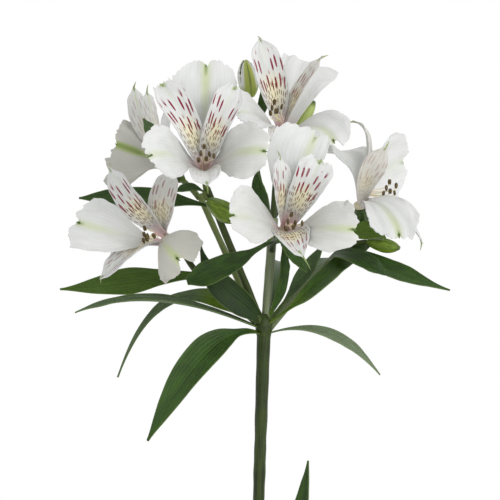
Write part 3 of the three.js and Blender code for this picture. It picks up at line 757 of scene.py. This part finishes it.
def potInsideRadius(height):
    low = potSettings["baseRadius"] - potSettings["wall"]
    high = potSettings["rimRadius"] - potSettings["rimStandOut"] - potSettings["wall"]
    share = (height - potSettings["wall"]) / (potSettings["height"] - potSettings["wall"])
    return low + (high - low) * share


def soilLevel(x, y):
    settings = soilSettings
    lump = math.sin(0.31 * x + 1.1) * math.cos(0.27 * y) + 0.6 * math.sin(0.53 * (x - y))
    clods = noise.noise(Vector((0.11 * x, 0.11 * y, 0)))
    clods += 0.6 * noise.noise(Vector((0.4 * x, 0.4 * y, 3)))
    reach = math.hypot(x, y) / potInsideRadius(settings["height"])
    level = settings["lump"] * (0.6 * lump + clods) * (1 - 0.4 * reach)
    return settings["height"] + level - settings["edgeDrop"] * ease(reach, 0.75, 1.0)


def addScatter(bm, rand, settings, lying, top):
    angle = rand.uniform(0, 2 * math.pi)
    reach = math.sqrt(rand.uniform(*settings["reach"])) * (top - settings["fromEdge"])
    spot = Vector((reach * math.cos(angle), reach * math.sin(angle), 0))
    size = rand.uniform(*lying["size"]) * 0.5
    spot.z = soilLevel(spot.x, spot.y) + 0.3 * size * lying["flat"]
    turn = Matrix.Rotation(rand.uniform(0, 2 * math.pi), 4, "Z")
    tilt = Matrix.Rotation(rand.uniform(-settings["tilt"], settings["tilt"]), 4, "X")
    shape = Matrix.Diagonal((size, size * rand.uniform(*settings["narrow"]), size * lying["flat"], 1))
    stand = Matrix.Translation(spot * mm) @ turn @ tilt @ Matrix.Scale(mm, 4) @ shape
    if lying["material"] == barkMaterial:
        made = bmesh.ops.create_cube(bm, size=2, matrix=stand)["verts"]
    else:
        made = bmesh.ops.create_icosphere(bm, subdivisions=1, radius=1, matrix=stand)["verts"]
    for vert in made:
        vert.co += noise.noise_vector(vert.co * 900) * (settings["rough"] * size * mm)
    for face in facesOf(made):
        face.material_index = lying["material"]


def makeSoil(settings):
    bm = startMesh()
    height = settings["height"]
    clearance = settings["clearance"]
    rings = settings["rings"]
    floor = potSettings["wall"] + settings["aboveWall"]
    top = potInsideRadius(height - settings["edgeDrop"]) - clearance
    profile = [(0, floor), (potInsideRadius(floor) - clearance, floor)]
    profile += [(top * ring / rings, height) for ring in range(rings, -1, -1)]
    spinProfile(bm, profile, settings["turns"])
    for vert in bm.verts:
        if vert.co.z > 0.9 * height * mm:
            vert.co.z = soilLevel(vert.co.x / mm, vert.co.y / mm) * mm
    dress(bm.faces, 0)
    rand = random.Random(settings["seed"])
    for lying in scatterSettings:
        for _ in range(lying["count"]):
            addScatter(bm, rand, settings, lying, top)
    finishPiece("soilTop", bm, [soilDark, barkBrown, gritWhite], ["soil"], 60)


makeSoil(soilSettings)
print("soil made")


# Stem, rays, stalks and ovaries. The paths are those of the solids.
stemFoot = (0, 0, 65)
whorl = (4.5, 0, 268)
stalks = [
    ([stemFoot, (0, 0, 130), (2, 0, 190), whorl], 2.5, 3.5),
    ([(3.5, 2, 266), (-6, 4, 287), (-17.5, 5, 311), (-28, 3, 335)], 1.7, 1.5),
    ([(4.5, -1, 266), (-3, -4, 288), (-14.5, -7, 313), (-24, -7, 338)], 1.8, 1.7),
    ([(4, 2, 267), (-12, 8, 284), (-30, 10, 290), (-36.5, -6, 308.5)], 1.6, 1.5),
    ([(5, 1, 266), (6, 3, 285), (8, 4, 300), (9, 3, 323)], 2.2, 2.6),
    ([(6, 0, 266), (18, 3, 282), (35, 6, 298), (54, 4.5, 319.5)], 1.7, 1.6),
    ([(-28, 3, 333), (-31.5, 6, 338), (-33.5, 13, 339), (-37, 18.4, 342.8)], 1.5, 1.4),
    ([(-24, -7, 336), (-25, -9, 341), (-25, -13, 343), (-25, -19, 343.5)], 1.6, 1.4),
    ([(8.5, 3.5, 306), (8, -6, 313), (11, -15, 311), (12.5, -25.5, 312)], 1.6, 1.4),
    ([(9, 3, 321), (10, 8, 335), (11, 24, 348), (12, 21.5, 359)], 1.7, 1.4),
    ([(9, 4, 320), (2, 16, 338), (-2, 24, 360), (-2.2, 22, 384)], 1.2, 1),
    ([(9, 4, 322), (18, 20, 338), (15, 26, 356), (19, 20.8, 367.5)], 1.2, 1),
    ([(-22.5, -7, 334), (-26, -9, 337), (-26, -10.5, 334.5), (-23.8, -11.2, 332)], 1.2, 1),
    ([(43, 4, 307.5), (45, 2, 309), (50, -2, 311), (55.5, -4, 311.3)], 1.2, 1),
]
stalkSettings = {
    "step": 2.2, "fewestSteps": 8, "sides": 20, "swell": 0.1, "swellRate": 0.11,
    "tone": {
        1: (0.15, 0, 0.75), 2: (0, 0, 0.12), 4: (0.55, 0, 0.3), 5: (0.3, 0, 0.3),
        6: (0, 0, 0.4), 7: (0, 0, 0.5), 12: (0, 0, 0.5), 13: (0, 0, 0.3),
    },
}
jointSettings = {
    "profile": [(-7, 2.9), (-4, 3.5), (-1, 4.1), (1.5, 4.2), (4, 3.6), (7, 1.6)],
    "sides": 28, "ribs": 5, "depth": 0.05,
}
ovarySettings = {
    "profile": [(-0.6, 1.2), (0.5, 1.9), (2.4, 3.2), (4.6, 3.5), (6.8, 3.3), (8.4, 2.7), (9.5, 2.5)],
    "length": 9.5, "sides": 36, "ribs": 6, "depth": 0.09, "steps": 14,
}


# A petal by its knee, its tip and its width. Other values stand in for those of its kind.
def petalTo(knee, tip, width, **own):
    return {"knee": Vector(knee), "tip": Vector(tip), "width": width, **own}


# The third number of a petal's tone is painted shade, given to petals that lie in the shade of others.
blooms = {
    "front_left": {
        "base": (-25, -28, 346), "axis": (0, -0.97, 0.25), "anthers": (-24, -55, 353),
        "outer": [
            petalTo((-24, -48, 384), (-24, -31, 401), 32, tone=(0.9, 0, 0), drawBack=0.2),
            petalTo((-44, -66, 357), (-52, -69, 351), 28, tone=(0.5, 0, 0), nick=0.08),
            petalTo((-6, -66, 357), (7.5, -64, 354), 30, tone=(0.7, 0, 0.4)),
        ],
        "inner": [
            petalTo((-33.5, -59, 373.5), (-45.5, -44, 387.5), 15.5,
                    widths=[0.3, 0.45, 0.62, 0.76, 0.84, 0.9, 0.96, 1, 0.6]),
            petalTo((-17, -60, 373), (-9.5, -47, 386), 14.5,
                    widths=[0.3, 0.45, 0.64, 0.8, 0.88, 0.93, 0.97, 1, 0.5]),
            petalTo((-24, -66, 345), (-23, -68, 338), 16, tone=(0.6, 0.12, 0)),
        ],
    },
    "front_right": {
        "base": (14, -34, 316), "axis": (0.15, -0.9, 0.4), "anthers": (18, -62, 320),
        "outer": [
            petalTo((23, -58, 351), (31, -42, 365), 28, mucro=0, tone=(0.6, 0, 0), skew=0.4,
                    drawBack=0.14),
            petalTo((-4, -74, 323), (-13, -75, 324), 31, tone=(0.35, 0, 0.25)),
            petalTo((38, -72, 318), (50, -68, 316.5), 31, tone=(0.8, 0, 0.5)),
        ],
        "inner": [
            petalTo((11, -66, 340), (12, -62, 352), 13, face=(0.5, -0.8, 0.3)),
            petalTo((27, -66, 341), (31.5, -58, 350), 18,
                    widths=[0.3, 0.42, 0.56, 0.7, 0.82, 0.9, 0.97, 1, 0.66]),
            petalTo((18.5, -70, 309), (23, -71, 304), 20, mucro=10, tone=(0.5, 0.9, 0),
                    widths=[0.2, 0.5, 0.86, 1, 0.96, 0.78, 0.56, 0.34, 0.07]),
        ],
    },
    "top": {
        "base": (13, 14, 364.5), "axis": (0.1, -0.8, 0.6), "anthers": (10, -17, 377), "spread": 0.7,
        "outer": [
            petalTo((18, 14, 391), (24, 24, 403.5), 30, mucro=0, tone=(0, 0, 0.1), skew=-0.35,
                    drawBack=0.02, notch=0, nick=0.02,
                    widths=[0.2, 0.3, 0.4, 0.5, 0.62, 0.74, 0.86, 0.98, 1]),
            petalTo((-4, -18, 379), (-11, -22, 373), 28, tone=(0.3, 0, 0)),
            petalTo((36, -10, 372), (40, -20, 358), 29, tone=(0.6, 0, 0)),
        ],
        "inner": [
            petalTo((6.5, -6, 398), (2.5, 3, 413), 17),
            petalTo((23, -8, 390), (33, -5, 403), 11, face=(-0.9, -0.45, 0.2), tone=(0.8, 1, 0.6)),
            petalTo((12, -22, 364), (13, -26, 356), 14, tone=(0.6, 0.3, 0)),
        ],
    },
    "far_right": {
        "base": (52.5, 0, 328), "axis": (-0.15, -0.5, 0.85), "anthers": (67, -11.5, 337.5),
        "spread": 0.9,
        "outer": [
            petalTo((57, 14, 359), (34, 18, 358), 29, turn=120, tone=(0.1, 0, 0), drawBack=0.1,
                    notch=0, nick=0.02, widths=[0.12, 0.15, 0.2, 0.28, 0.46, 0.72, 0.94, 1, 0.7]),
            petalTo((72, -30, 323), (70.5, -36, 311.5), 26, tone=(0.8, 0, 0)),
            petalTo((67, 14, 350), (78, 28, 352), 38, face=(0.8, -0.55, -0.17), mucro=0,
                    tone=(0.2, 0, 0)),
        ],
        "inner": [
            petalTo((55, -18, 345), (65, -17, 358), 13, face=(0.3, -0.9, 0.3), tone=(0.4, 0.5, 0.8),
                    widths=[0.28, 0.34, 0.5, 0.68, 0.84, 0.97, 1, 0.8, 0.12]),
            petalTo((64, 10, 366), (50, 14, 372), 7, face=(0.6, 0, 0.8), tone=(0.9, 0, 0.5)),
            petalTo((76, -10, 326), (83, -10, 311), 9, face=(0.6, 0, 0.8)),
        ],
    },
    "far_left": {
        "base": (-43, -12, 312), "axis": (-0.68, -0.62, 0.38), "anthers": (-53, -38, 314),
        "spread": 0.9,
        "outer": [
            petalTo((-52, 12, 328), (-44, 28, 326), 22),
            petalTo((-76, -37, 318), (-90, -28, 321.5), 30, tone=(0.7, 0, 0), drawBack=0.14,
                    nick=0.045),
            petalTo((-40, -56, 305), (-32.5, -50, 298), 31, hollow=(-0.5, -0.7), tone=(1.0, 0, 1.4),
                    drawBack=0.1, notch=0.2),
        ],
        "inner": [
            petalTo((-63, -32, 332), (-71.5, -26, 347), 16),
            petalTo((-46, -26, 334), (-40.5, -22, 346), 15, face=(-0.3, -1, 0.2), tone=(0.6, 0.8, 0.4),
                    widths=[0.12, 0.18, 0.5, 0.8, 0.97, 1, 0.92, 0.76, 0.07]),
            petalTo((-66, -36, 303), (-76, -26, 293), 14, tone=(0.6, 0.5, 0)),
        ],
    },
    "back_left": {
        "base": (-43, 22, 349), "axis": (-0.6, 0.35, 0.72), "anthers": (-54.5, 29.5, 368),
        "spread": 0.45,
        "outer": [
            petalTo((-44, 44, 380), (-40, 58, 390), 26),
            petalTo((-61, 17, 357), (-72, 14, 361), 36, face=(0, 1, -0.3), tone=(1.5, 0, 1.3),
                    nick=0.08, drawBack=0.08, skew=-0.2),
            petalTo((-56, 52, 364), (-64, 62, 364), 24),
        ],
        "inner": [
            petalTo((-60, 15, 376), (-61, 10, 389), 12, tone=(1.0, 0.8, 0.2)),
            petalTo((-53, 24, 381), (-55, 24, 387), 12, tone=(1.0, 0.8, 0.2)),
            petalTo((-58, 40, 362), (-66, 42, 354), 12),
        ],
    },
}


def addStalk(bm, number, points, first, last):
    settings = stalkSettings
    path = [Vector(point) for point in points]
    length = (path[3] - path[0]).length
    shares = sharesOf(max(int(length / settings["step"]), settings["fewestSteps"]))
    places = [bezierPoint(path, share) for share in shares]
    radii = []
    for share, place in zip(shares, places):
        swell = settings["swell"] * noise.noise(Vector((place.z * settings["swellRate"], number, 0)))
        radii.append((first + (last - first) * share ** 2) * (1 + swell))
    tone = settings["tone"].get(number, (0, 0, 0))
    sweepTube(bm, places, radii, settings["sides"], 0, number * 1.7, tone)


def makeStem():
    bm = startMesh()
    for number, (points, first, last) in enumerate(stalks):
        addStalk(bm, number, points, first, last)
    places = [Vector(whorl) + Vector((0, 0, height)) for height, radius in jointSettings["profile"]]
    radii = [radius for height, radius in jointSettings["profile"]]
    knob = sweepTube(bm, places, radii, jointSettings["sides"], 0, 5.5)
    raiseRibs(knob, Vector(whorl), Vector((0, 0, 1)), jointSettings["ribs"], jointSettings["depth"])
    heights = [height for height, radius in ovarySettings["profile"]]
    widths = [radius for height, radius in ovarySettings["profile"]]
    shares = sharesOf(ovarySettings["steps"])
    radii = [between(widths, share) for share in shares]
    for number, bloom in enumerate(blooms.values()):
        axis = Vector(bloom["axis"]).normalized()
        foot = Vector(bloom["base"]) - axis * ovarySettings["length"]
        places = [foot + axis * between(heights, share) for share in shares]
        ovary = sweepTube(bm, places, radii, ovarySettings["sides"], 1, number * 2.3)
        raiseRibs(ovary, foot, axis, ovarySettings["ribs"], ovarySettings["depth"])
    finishPiece("stemAndRays", bm, [stemGreen, ovaryGreen], ["stem"], 60)


makeStem()
print("stem made")


# Blooms: three keeled outer tepals, three striped inner petals, and the cup they stand on.
throatSettings = {
    "radius": 3, "height": 2.6, "seat": 0.3, "sides": 28, "shoulder": 0.4, "material": 4,
    "profile": [(0, 0.86), (0.15, 0.98), (0.5, 1), (0.85, 0.97), (1, 0.8)],
}
tipSettings = {
    "outerTepal": {"length": 2.4, "radius": 0.55, "sunk": 0.5, "curl": 0.3, "material": 5},
    "innerPetal": {"length": 5.4, "radius": 0.48, "sunk": 0.36, "curl": 0.5, "material": 6},
    "steps": 6, "sides": 8, "taper": 0.8,
}


# A short turned form. Its profile gives shares of its height and its radius.
def addTurned(bm, foot, axis, settings, materialIndex, seed):
    places = [foot + axis * (settings["height"] * height) for height, radius in settings["profile"]]
    radii = [settings["radius"] * radius for height, radius in settings["profile"]]
    sweepTube(bm, places, radii, settings["sides"], materialIndex, seed)


def petalBlade(bloom, petal, kindName):
    kind = bladeKinds[kindName]
    base = Vector(bloom["base"])
    axis = Vector(bloom["axis"]).normalized()
    outward = petal["knee"] - base
    reach = outward.length
    outward = (outward - axis * outward.dot(axis)).normalized()
    root = base + axis * (2 * throatSettings["seat"]) + outward * kind["ringRadius"]
    shoulder = root + axis * (throatSettings["shoulder"] * reach) + outward * (kind["flare"] * reach)
    return {
        "face": axis,
        "mucro": tipSettings[kindName]["length"],
        "path": [root, shoulder, petal["knee"], petal["tip"]],
        **petal,
    }


# The small green point at a tepal's notch or a petal's tip, curling to the outside.
def addTip(bm, blade, kindName, seed):
    settings = tipSettings[kindName]
    place = 1 - blade.get("notch", bladeKinds[kindName]["notch"])
    heading, _, upper = bladeStand(blade, bladeSide(blade), place)
    spot = bezierPoint(blade["path"], place)
    length = blade["mucro"]
    places = []
    radii = []
    for share in sharesOf(tipSettings["steps"]):
        onward = heading * (length * (share - settings["sunk"]))
        places.append(spot + onward - upper * (settings["curl"] * length * share ** 2))
        radii.append(settings["radius"] * (1 - tipSettings["taper"] * share ** 2))
    sweepTube(bm, places, radii, tipSettings["sides"], settings["material"], seed)


def makeBloom(name, bloom, seed):
    bm = startMesh()
    axis = Vector(bloom["axis"]).normalized()
    foot = Vector(bloom["base"]) + axis * throatSettings["seat"]
    addTurned(bm, foot, axis, throatSettings, throatSettings["material"], seed)
    kinds = [("outerTepal", bloom["outer"], 0), ("innerPetal", bloom["inner"], 2)]
    petalSeed = seed
    for kindName, petals, materialIndex in kinds:
        for petal in petals:
            blade = petalBlade(bloom, petal, kindName)
            addBlade(bm, blade, kindName, petalSeed, materialIndex)
            if blade["mucro"]:
                addTip(bm, blade, kindName, petalSeed)
            petalSeed += 1
    materials = tepalSides + petalSides + [throatGreen, mucroGreen, tipGreen]
    finishPiece(f"petals_{name}", bm, materials, [f"bloom_{name}"])


# Stamens: six bowed filaments with two-lobed anthers, and the style between them.
stamenSettings = {
    "count": 6, "firstTurn": 0.35, "flatten": 0.8, "wideSpread": 4.4, "narrowSpread": 2.4,
    "unevenness": 3, "unevenTurn": 2.4, "rootBow": 0.5, "tipBow": 0.35, "styleShare": 0.78,
    "root": 0.34, "end": 0.22, "sides": 10, "steps": 16,
}
stamenFootSettings = {
    "radius": 0.8, "height": 1.2, "sides": 16, "profile": [(0, 1), (0.6, 0.95), (1, 0.6)],
}
antherSettings = {
    "length": 3.0, "lobeRadius": 0.52, "apart": 0.75, "depth": 1.25, "lean": 0.9, "sway": 0.3,
    "rough": 0.07, "roughRate": 1500, "around": 14, "along": 10,
}


def bowedPath(root, tip, axis):
    reach = (tip - root).length
    first = root + axis * (stamenSettings["rootBow"] * reach)
    return [root, first, tip - axis * (stamenSettings["tipBow"] * reach), tip]


def addFilament(bm, path, seed):
    settings = stamenSettings
    shares = sharesOf(settings["steps"])
    places = [bezierPoint(path, share) for share in shares]
    radii = [settings["root"] + (settings["end"] - settings["root"]) * share for share in shares]
    sweepTube(bm, places, radii, settings["sides"], 0, seed)


def addAnther(bm, tip, lean, across):
    settings = antherSettings
    radius = settings["lobeRadius"]
    turn = Matrix((across, lean.cross(across), lean)).transposed().to_4x4()
    shape = Matrix.Diagonal((radius, radius * settings["depth"], settings["length"] / 2, 1))
    for sign in (-1, 1):
        shift = Matrix.Translation((sign * radius * settings["apart"], 0, 0))
        stand = Matrix.Translation(tip * mm) @ turn @ Matrix.Scale(mm, 4) @ shift @ shape
        lobe = bmesh.ops.create_uvsphere(bm, u_segments=settings["around"],
                                         v_segments=settings["along"], radius=1, matrix=stand)["verts"]
        for vert in lobe:
            rough = noise.noise_vector(vert.co * settings["roughRate"])
            vert.co += rough * (settings["rough"] * mm)
        dress(facesOf(lobe), 1)


def makeStamens(name, bloom, seed):
    settings = stamenSettings
    bm = startMesh()
    rand = random.Random(seed)
    axis = Vector(bloom["axis"]).normalized()
    foot = Vector(bloom["base"]) + axis * (throatSettings["height"] + 2 * throatSettings["seat"])
    side = axis.cross(Vector((0, 0, 1))).normalized()
    over = side.cross(axis)
    addTurned(bm, foot, axis, stamenFootSettings, 0, seed)
    end = Vector(bloom["anthers"])
    for index in range(settings["count"]):
        angle = 2 * math.pi * (index + settings["firstTurn"]) / settings["count"]
        ray = side * math.cos(angle) + over * (settings["flatten"] * math.sin(angle))
        spread = settings["wideSpread"] if index % 2 else settings["narrowSpread"]
        uneven = settings["unevenness"] * math.sin(settings["unevenTurn"] * index)
        tip = end + ray * (spread * bloom.get("spread", 1)) + axis * uneven
        root = (foot + ray * (0.5 * stamenFootSettings["radius"])
                + axis * (0.5 * stamenFootSettings["height"]))
        addFilament(bm, bowedPath(root, tip, axis), seed + index)
        sway = rand.uniform(-antherSettings["sway"], antherSettings["sway"])
        lean = (axis + over * antherSettings["lean"] + ray * sway).normalized()
        across = lean.cross(ray + axis * 0.2).normalized()
        addAnther(bm, tip, lean, across)
    styleTip = foot + (end - foot) * settings["styleShare"]
    addFilament(bm, bowedPath(foot, styleTip, axis), seed + 7)
    materials = [filamentPale, antherBrown]
    finishPiece(f"filaments_{name}", bm, materials, [f"stamens_{name}"], 60)


for bloomNumber, (bloomName, bloomShape) in enumerate(blooms.items()):
    makeBloom(bloomName, bloomShape, 10 * bloomNumber)
    makeStamens(bloomName, bloomShape, 10 * bloomNumber)
print("blooms made")


# Closed buds, from foot to tip, and the three tepals laid round the one that is about to open.
buds = {
    "bud_top": {"foot": (-2.2, 22, 384.4), "tip": (-5, 20, 403), "radius": 5.2, "open": True},
    "bud_behind_top": {"foot": (19.2, 20.5, 368), "tip": (30, 14, 382), "radius": 4,
                       "tone": (0, 0, 0.8)},
    "bud_left": {"foot": (-23.4, -11.3, 331.6), "tip": (-8, -15, 321.5), "radius": 5.2},
    "bud_right": {"foot": (56, -4.2, 311.2), "tip": (72, -10, 308), "radius": 3.6},
}
budSettings = {
    "outline": [0.38, 0.62, 0.78, 0.9, 0.98, 1.0, 0.94, 0.8, 0.56, 0.22],
    "steps": 30, "sides": 36, "lobes": 3, "depth": 0.07,
}
openBudSettings = {
    "core": 0.82, "count": 3, "start": -0.1, "side": (0.3, -1, 0), "width": 10.5,
    "root": 0.3, "belly": 1.2, "mouth": 0.2, "bellyFrom": 0.25, "bellyTo": 0.75,
}


def addBudTepals(bm, bud, foot, tip, axis, seed):
    settings = openBudSettings
    side = Vector(settings["side"])
    side = (side - axis * side.dot(axis)).normalized()
    for number in range(settings["count"]):
        angle = settings["start"] + 2 * math.pi * number / settings["count"]
        outward = Matrix.Rotation(angle, 3, axis) @ side
        arm = outward * bud["radius"]
        blade = {
            "path": [
                foot + arm * settings["root"],
                foot + (tip - foot) * settings["bellyFrom"] + arm * settings["belly"],
                foot + (tip - foot) * settings["bellyTo"] + arm * settings["belly"],
                tip + arm * settings["mouth"],
            ],
            "face": -outward,
            "width": settings["width"],
        }
        addBlade(bm, blade, "budTepal", seed + number, 1)


def makeBud(name, bud, seed):
    bm = startMesh()
    foot, tip = Vector(bud["foot"]), Vector(bud["tip"])
    axis = (tip - foot).normalized()
    opening = bud.get("open", False)
    girth = bud["radius"] * (openBudSettings["core"] if opening else 1.0)
    shares = sharesOf(budSettings["steps"])
    places = [foot + (tip - foot) * share for share in shares]
    radii = [girth * between(budSettings["outline"], share) for share in shares]
    skin = sweepTube(bm, places, radii, budSettings["sides"], 0, seed, bud.get("tone", (0, 0, 0)))
    raiseRibs(skin, foot, axis, budSettings["lobes"], budSettings["depth"])
    raiseRibs(skin, foot, axis, 2 * budSettings["lobes"], 0.5 * budSettings["depth"])
    if opening:
        addBudTepals(bm, bud, foot, tip, axis, seed)
    finishPiece(f"{name}_skin", bm, [budGreen, budWhite, budWhite], [name], 60)


for budNumber, (budName, budShape) in enumerate(buds.items()):
    makeBud(budName, budShape, 3.1 * budNumber)
print("buds made")


# A leaf by its path, the way its upper side faces and its width.
def leafAlong(path, face, width, **own):
    return {"path": [Vector(point) for point in path], "face": face, "width": width, **own}


# Leaves: the whorl's, those on the rays and at the bloom stalks, and the stem's own.
leaves = {
    "leaf_hanging": leafAlong(
        [(3.5, -0.5, 265), (-14, -13, 270), (-29, -26, 258), (-53, -24, 213)], (-0.3, -1, 0.5), 18,
        widths=[0.14, 0.26, 0.34, 0.74, 1, 1, 0.84, 0.5, 0.07]),
    "leaf_low_left": leafAlong(
        [(3, 0, 267.5), (-22, -8, 278), (-55, -22, 290), (-89, -18, 276)], (0, -0.3, 1), 13,
        widths=[0.2, 0.34, 0.46, 0.6, 0.94, 1, 0.8, 0.46, 0.07], tone=(0.3, 0, 0)),
    "leaf_drooping": leafAlong(
        [(4, 0.5, 269.4), (-22, 8, 288), (-50, 14, 298), (-69, 8, 243)], (-0.1, -0.9, 0.4), 12,
        widths=[0.2, 0.5, 0.84, 0.7, 0.46, 0.46, 0.32, 0.18, 0.06], tone=(0.4, 0, 1.3)),
    "leaf_bright_left": leafAlong(
        [(4, 1.5, 272), (-12, 36, 308), (-50, 14, 289.5), (-97, -8, 287.5)], (0, -0.9, 0.4), 15,
        widths=[0.14, 0.14, 0.16, 0.2, 0.32, 0.62, 0.96, 0.56, 0.05], tone=(0, 0.45, 0)),
    "leaf_curled": leafAlong(
        [(9, 2, 312), (2, -18, 308), (-12, -32, 299), (-33.5, -28, 291.5)], (0.2, -0.9, 0.5), 12.5,
        widths=[0.18, 0.18, 0.2, 0.3, 0.62, 0.92, 1, 0.98, 0.3]),
    # Its lime tone below 0 paints shade on it.
    "leaf_upright_left": leafAlong(
        [(4.5, -0.5, 270), (-8, -12, 284), (-23, -13, 287), (-27, -10, 309)], (-0.4, -0.8, 0.6), 14,
        widths=[0.2, 0.5, 0.86, 1, 1, 0.9, 0.6, 0.3, 0.07], tone=(0, -0.5, 0)),
    "leaf_behind_left": leafAlong(
        [(-20, -7, 328), (-36, -10, 333), (-63, -6, 333), (-88, 0, 333)], (0, -0.9, 0.4), 12),
    "leaf_small_left": leafAlong(
        [(-23, -7, 334), (-30, -10, 340), (-34, -14, 338), (-39, -16, 336)], (0, -0.8, 0.6), 6),
    "leaf_slender_right": leafAlong(
        [(5, 0.5, 270), (16, 10, 281), (25, 12, 294), (34, 16, 309)], (-0.3, -0.8, 0.4), 8,
        widths=[0.2, 0.2, 0.22, 0.3, 0.74, 1, 1, 0.7, 0.2], tone=(0.2, 0, 0.3)),
    "leaf_broad_right": leafAlong(
        [(5.5, -0.5, 270), (24, -11, 280.5), (36, -9, 300), (58.5, 2, 312)], (-0.5, -0.7, 0.6), 13,
        widths=[0.16, 0.16, 0.3, 0.86, 1, 1, 0.96, 0.84, 0.4], skew=-0.4, tone=(0, 0.1, 0.5)),
    "leaf_far_right": leafAlong(
        [(41.2, 4.9, 305.4), (52, 3, 303.5), (78, -10, 292), (97, -8, 287)], (0.1, -0.7, 0.8), 13,
        widths=[0.16, 0.5, 0.88, 1, 1, 0.94, 0.6, 0.26, 0.07]),
    # Its lime tone below 0 paints shade on it.
    "leaf_right_front": leafAlong(
        [(37, 4.7, 301), (41, -15, 310), (56, -24, 300), (66, -20, 294.5)], (0.2, -0.8, 0.6), 10,
        widths=[0.2, 0.5, 0.76, 0.9, 1, 1, 0.9, 0.56, 0.07], tone=(0, -0.35, 0)),
    "leaf_arching_right": leafAlong(
        [(5, -0.5, 264.5), (22, -10, 271.5), (44, -14, 267), (62, -12, 245)], (0.3, -0.4, 1), 12,
        tone=(0.8, 0, 0)),
    "leaf_upright_middle": leafAlong(
        [(7, 1, 274), (14, -1, 286), (16, -2, 297), (14, -3, 308)], (0.4, -0.9, 0), 5.5,
        widths=[0.3, 0.5, 0.8, 1, 1, 1, 0.9, 0.7, 0.2]),
    "leaf_under_right": leafAlong(
        [(46, 4.5, 310), (49, -8, 317), (57, -12, 319.5), (65, -9, 313)], (0, -1, 0.2), 9.5,
        tone=(0, 0.8, 0)),
    "leaf_back_high": leafAlong(
        [(4.5, 1, 270), (12, 22, 292), (12, 42, 308), (13, 78.5, 298)], (0.3, 0, 1), 13),
    "leaf_back_right": leafAlong(
        [(5, 1, 267), (22, 26, 288), (36, 50, 305), (45, 75, 302)], (0, -0.2, 1), 13),
    "leaf_back_left": leafAlong(
        [(4, 1, 266.5), (-4, 30, 276), (-17, 52, 288), (-27, 70, 290)], (0, -0.2, 1), 12),
    "leaf_under_front": leafAlong(
        [(9, 3, 314), (16, -8, 312), (19, -13, 303), (26, -14, 296)], (0.4, -0.8, 0.3), 9),
    "leaf_between": leafAlong(
        [(9, 3, 320), (6, -6, 330), (1, -12, 335), (1, -14, 347)], (-0.5, -0.8, 0.2), 9),
    "leaf_back_bloom": leafAlong(
        [(-35.5, 16, 341.5), (-40, 8, 357), (-50, 5, 362), (-56, 5, 373)], (-0.2, 1, 0.1), 10),
    "leaf_top_small": leafAlong(
        [(0, 22, 372), (4, 17, 376), (5, 14, 381), (3, 13, 388)], (0, -1, 0.2), 5),
    "leaf_stem_tip": leafAlong(
        [(1.5, 0, 132), (16, -3, 140), (24, -6, 172), (26.5, -4, 202)], (-0.5, -0.7, 0.5), 12),
    "leaf_stem_left": leafAlong(
        [(2, 0, 156), (-12, 6, 170), (-30, 12, 174), (-54, 16, 158)], (0, -0.3, 1), 13),
    "leaf_stem_back": leafAlong(
        [(1.5, 0, 144), (14, 16, 160), (24, 36, 164), (34, 60, 148)], (0, -0.2, 1), 13),
    "leaf_stem_front": leafAlong(
        [(1, 0, 122), (-6, -14, 142), (-18, -34, 148), (-28, -54, 136)], (0, -0.2, 1), 12),
}
firstLeafSeed = 40

for leafNumber, (leafName, leaf) in enumerate(leaves.items()):
    leafMesh = startMesh()
    addBlade(leafMesh, leaf, "leaf", firstLeafSeed + leafNumber, 0)
    finishPiece(f"{leafName}_blade", leafMesh, leafSides, [leafName])
print("leaves made")


# The floor and the light: pale, soft and even. These lengths are in metres.
stageSettings = {"floorRadius": 2.1, "color": paint(244, 244, 243), "cloud": paint(238, 238, 237)}
lightSettings = {
    "world": 1.0,
    "key": {"at": (0.9, -1.1, 0.9), "size": 0.7, "power": 10.0},
    "target": (0, 0, 0.32),
}


def makeFloor(settings):
    finish = Finish("paleFloor", settings["color"], Roughness=0.6)
    cloud = finish.grain(finish.place(), 3.0)
    finish.lay(cloud.rise(0.4, 0.6) * 0.1, settings["cloud"])
    bm = bmesh.new()
    bmesh.ops.create_circle(bm, cap_ends=True, segments=96, radius=settings["floorRadius"])
    mesh = bpy.data.meshes.new("floor")
    bm.to_mesh(mesh)
    bm.free()
    mesh.materials.append(finish.material)
    floor = bpy.data.objects.new("floor", mesh)
    scene.collection.objects.link(floor)


def makeLight(name, settings, target):
    light = bpy.data.lights.new(name, "AREA")
    light.size = settings["size"]
    light.energy = settings["power"]
    holder = bpy.data.objects.new(name, light)
    holder.location = settings["at"]
    toTarget = Vector(target) - Vector(settings["at"])
    holder.rotation_euler = toTarget.to_track_quat("-Z", "Y").to_euler()
    scene.collection.objects.link(holder)


def makeWorld(strength):
    world = bpy.data.worlds.new("studio")
    world.use_nodes = True
    background = world.node_tree.nodes["Background"]
    background.inputs["Color"].default_value = (1.0, 1.0, 1.0, 1.0)
    background.inputs["Strength"].default_value = strength
    scene.world = world


makeFloor(stageSettings)
makeWorld(lightSettings["world"])
makeLight("key", lightSettings["key"], lightSettings["target"])
scene.view_settings.view_transform = "Standard"
print("floor and light made")
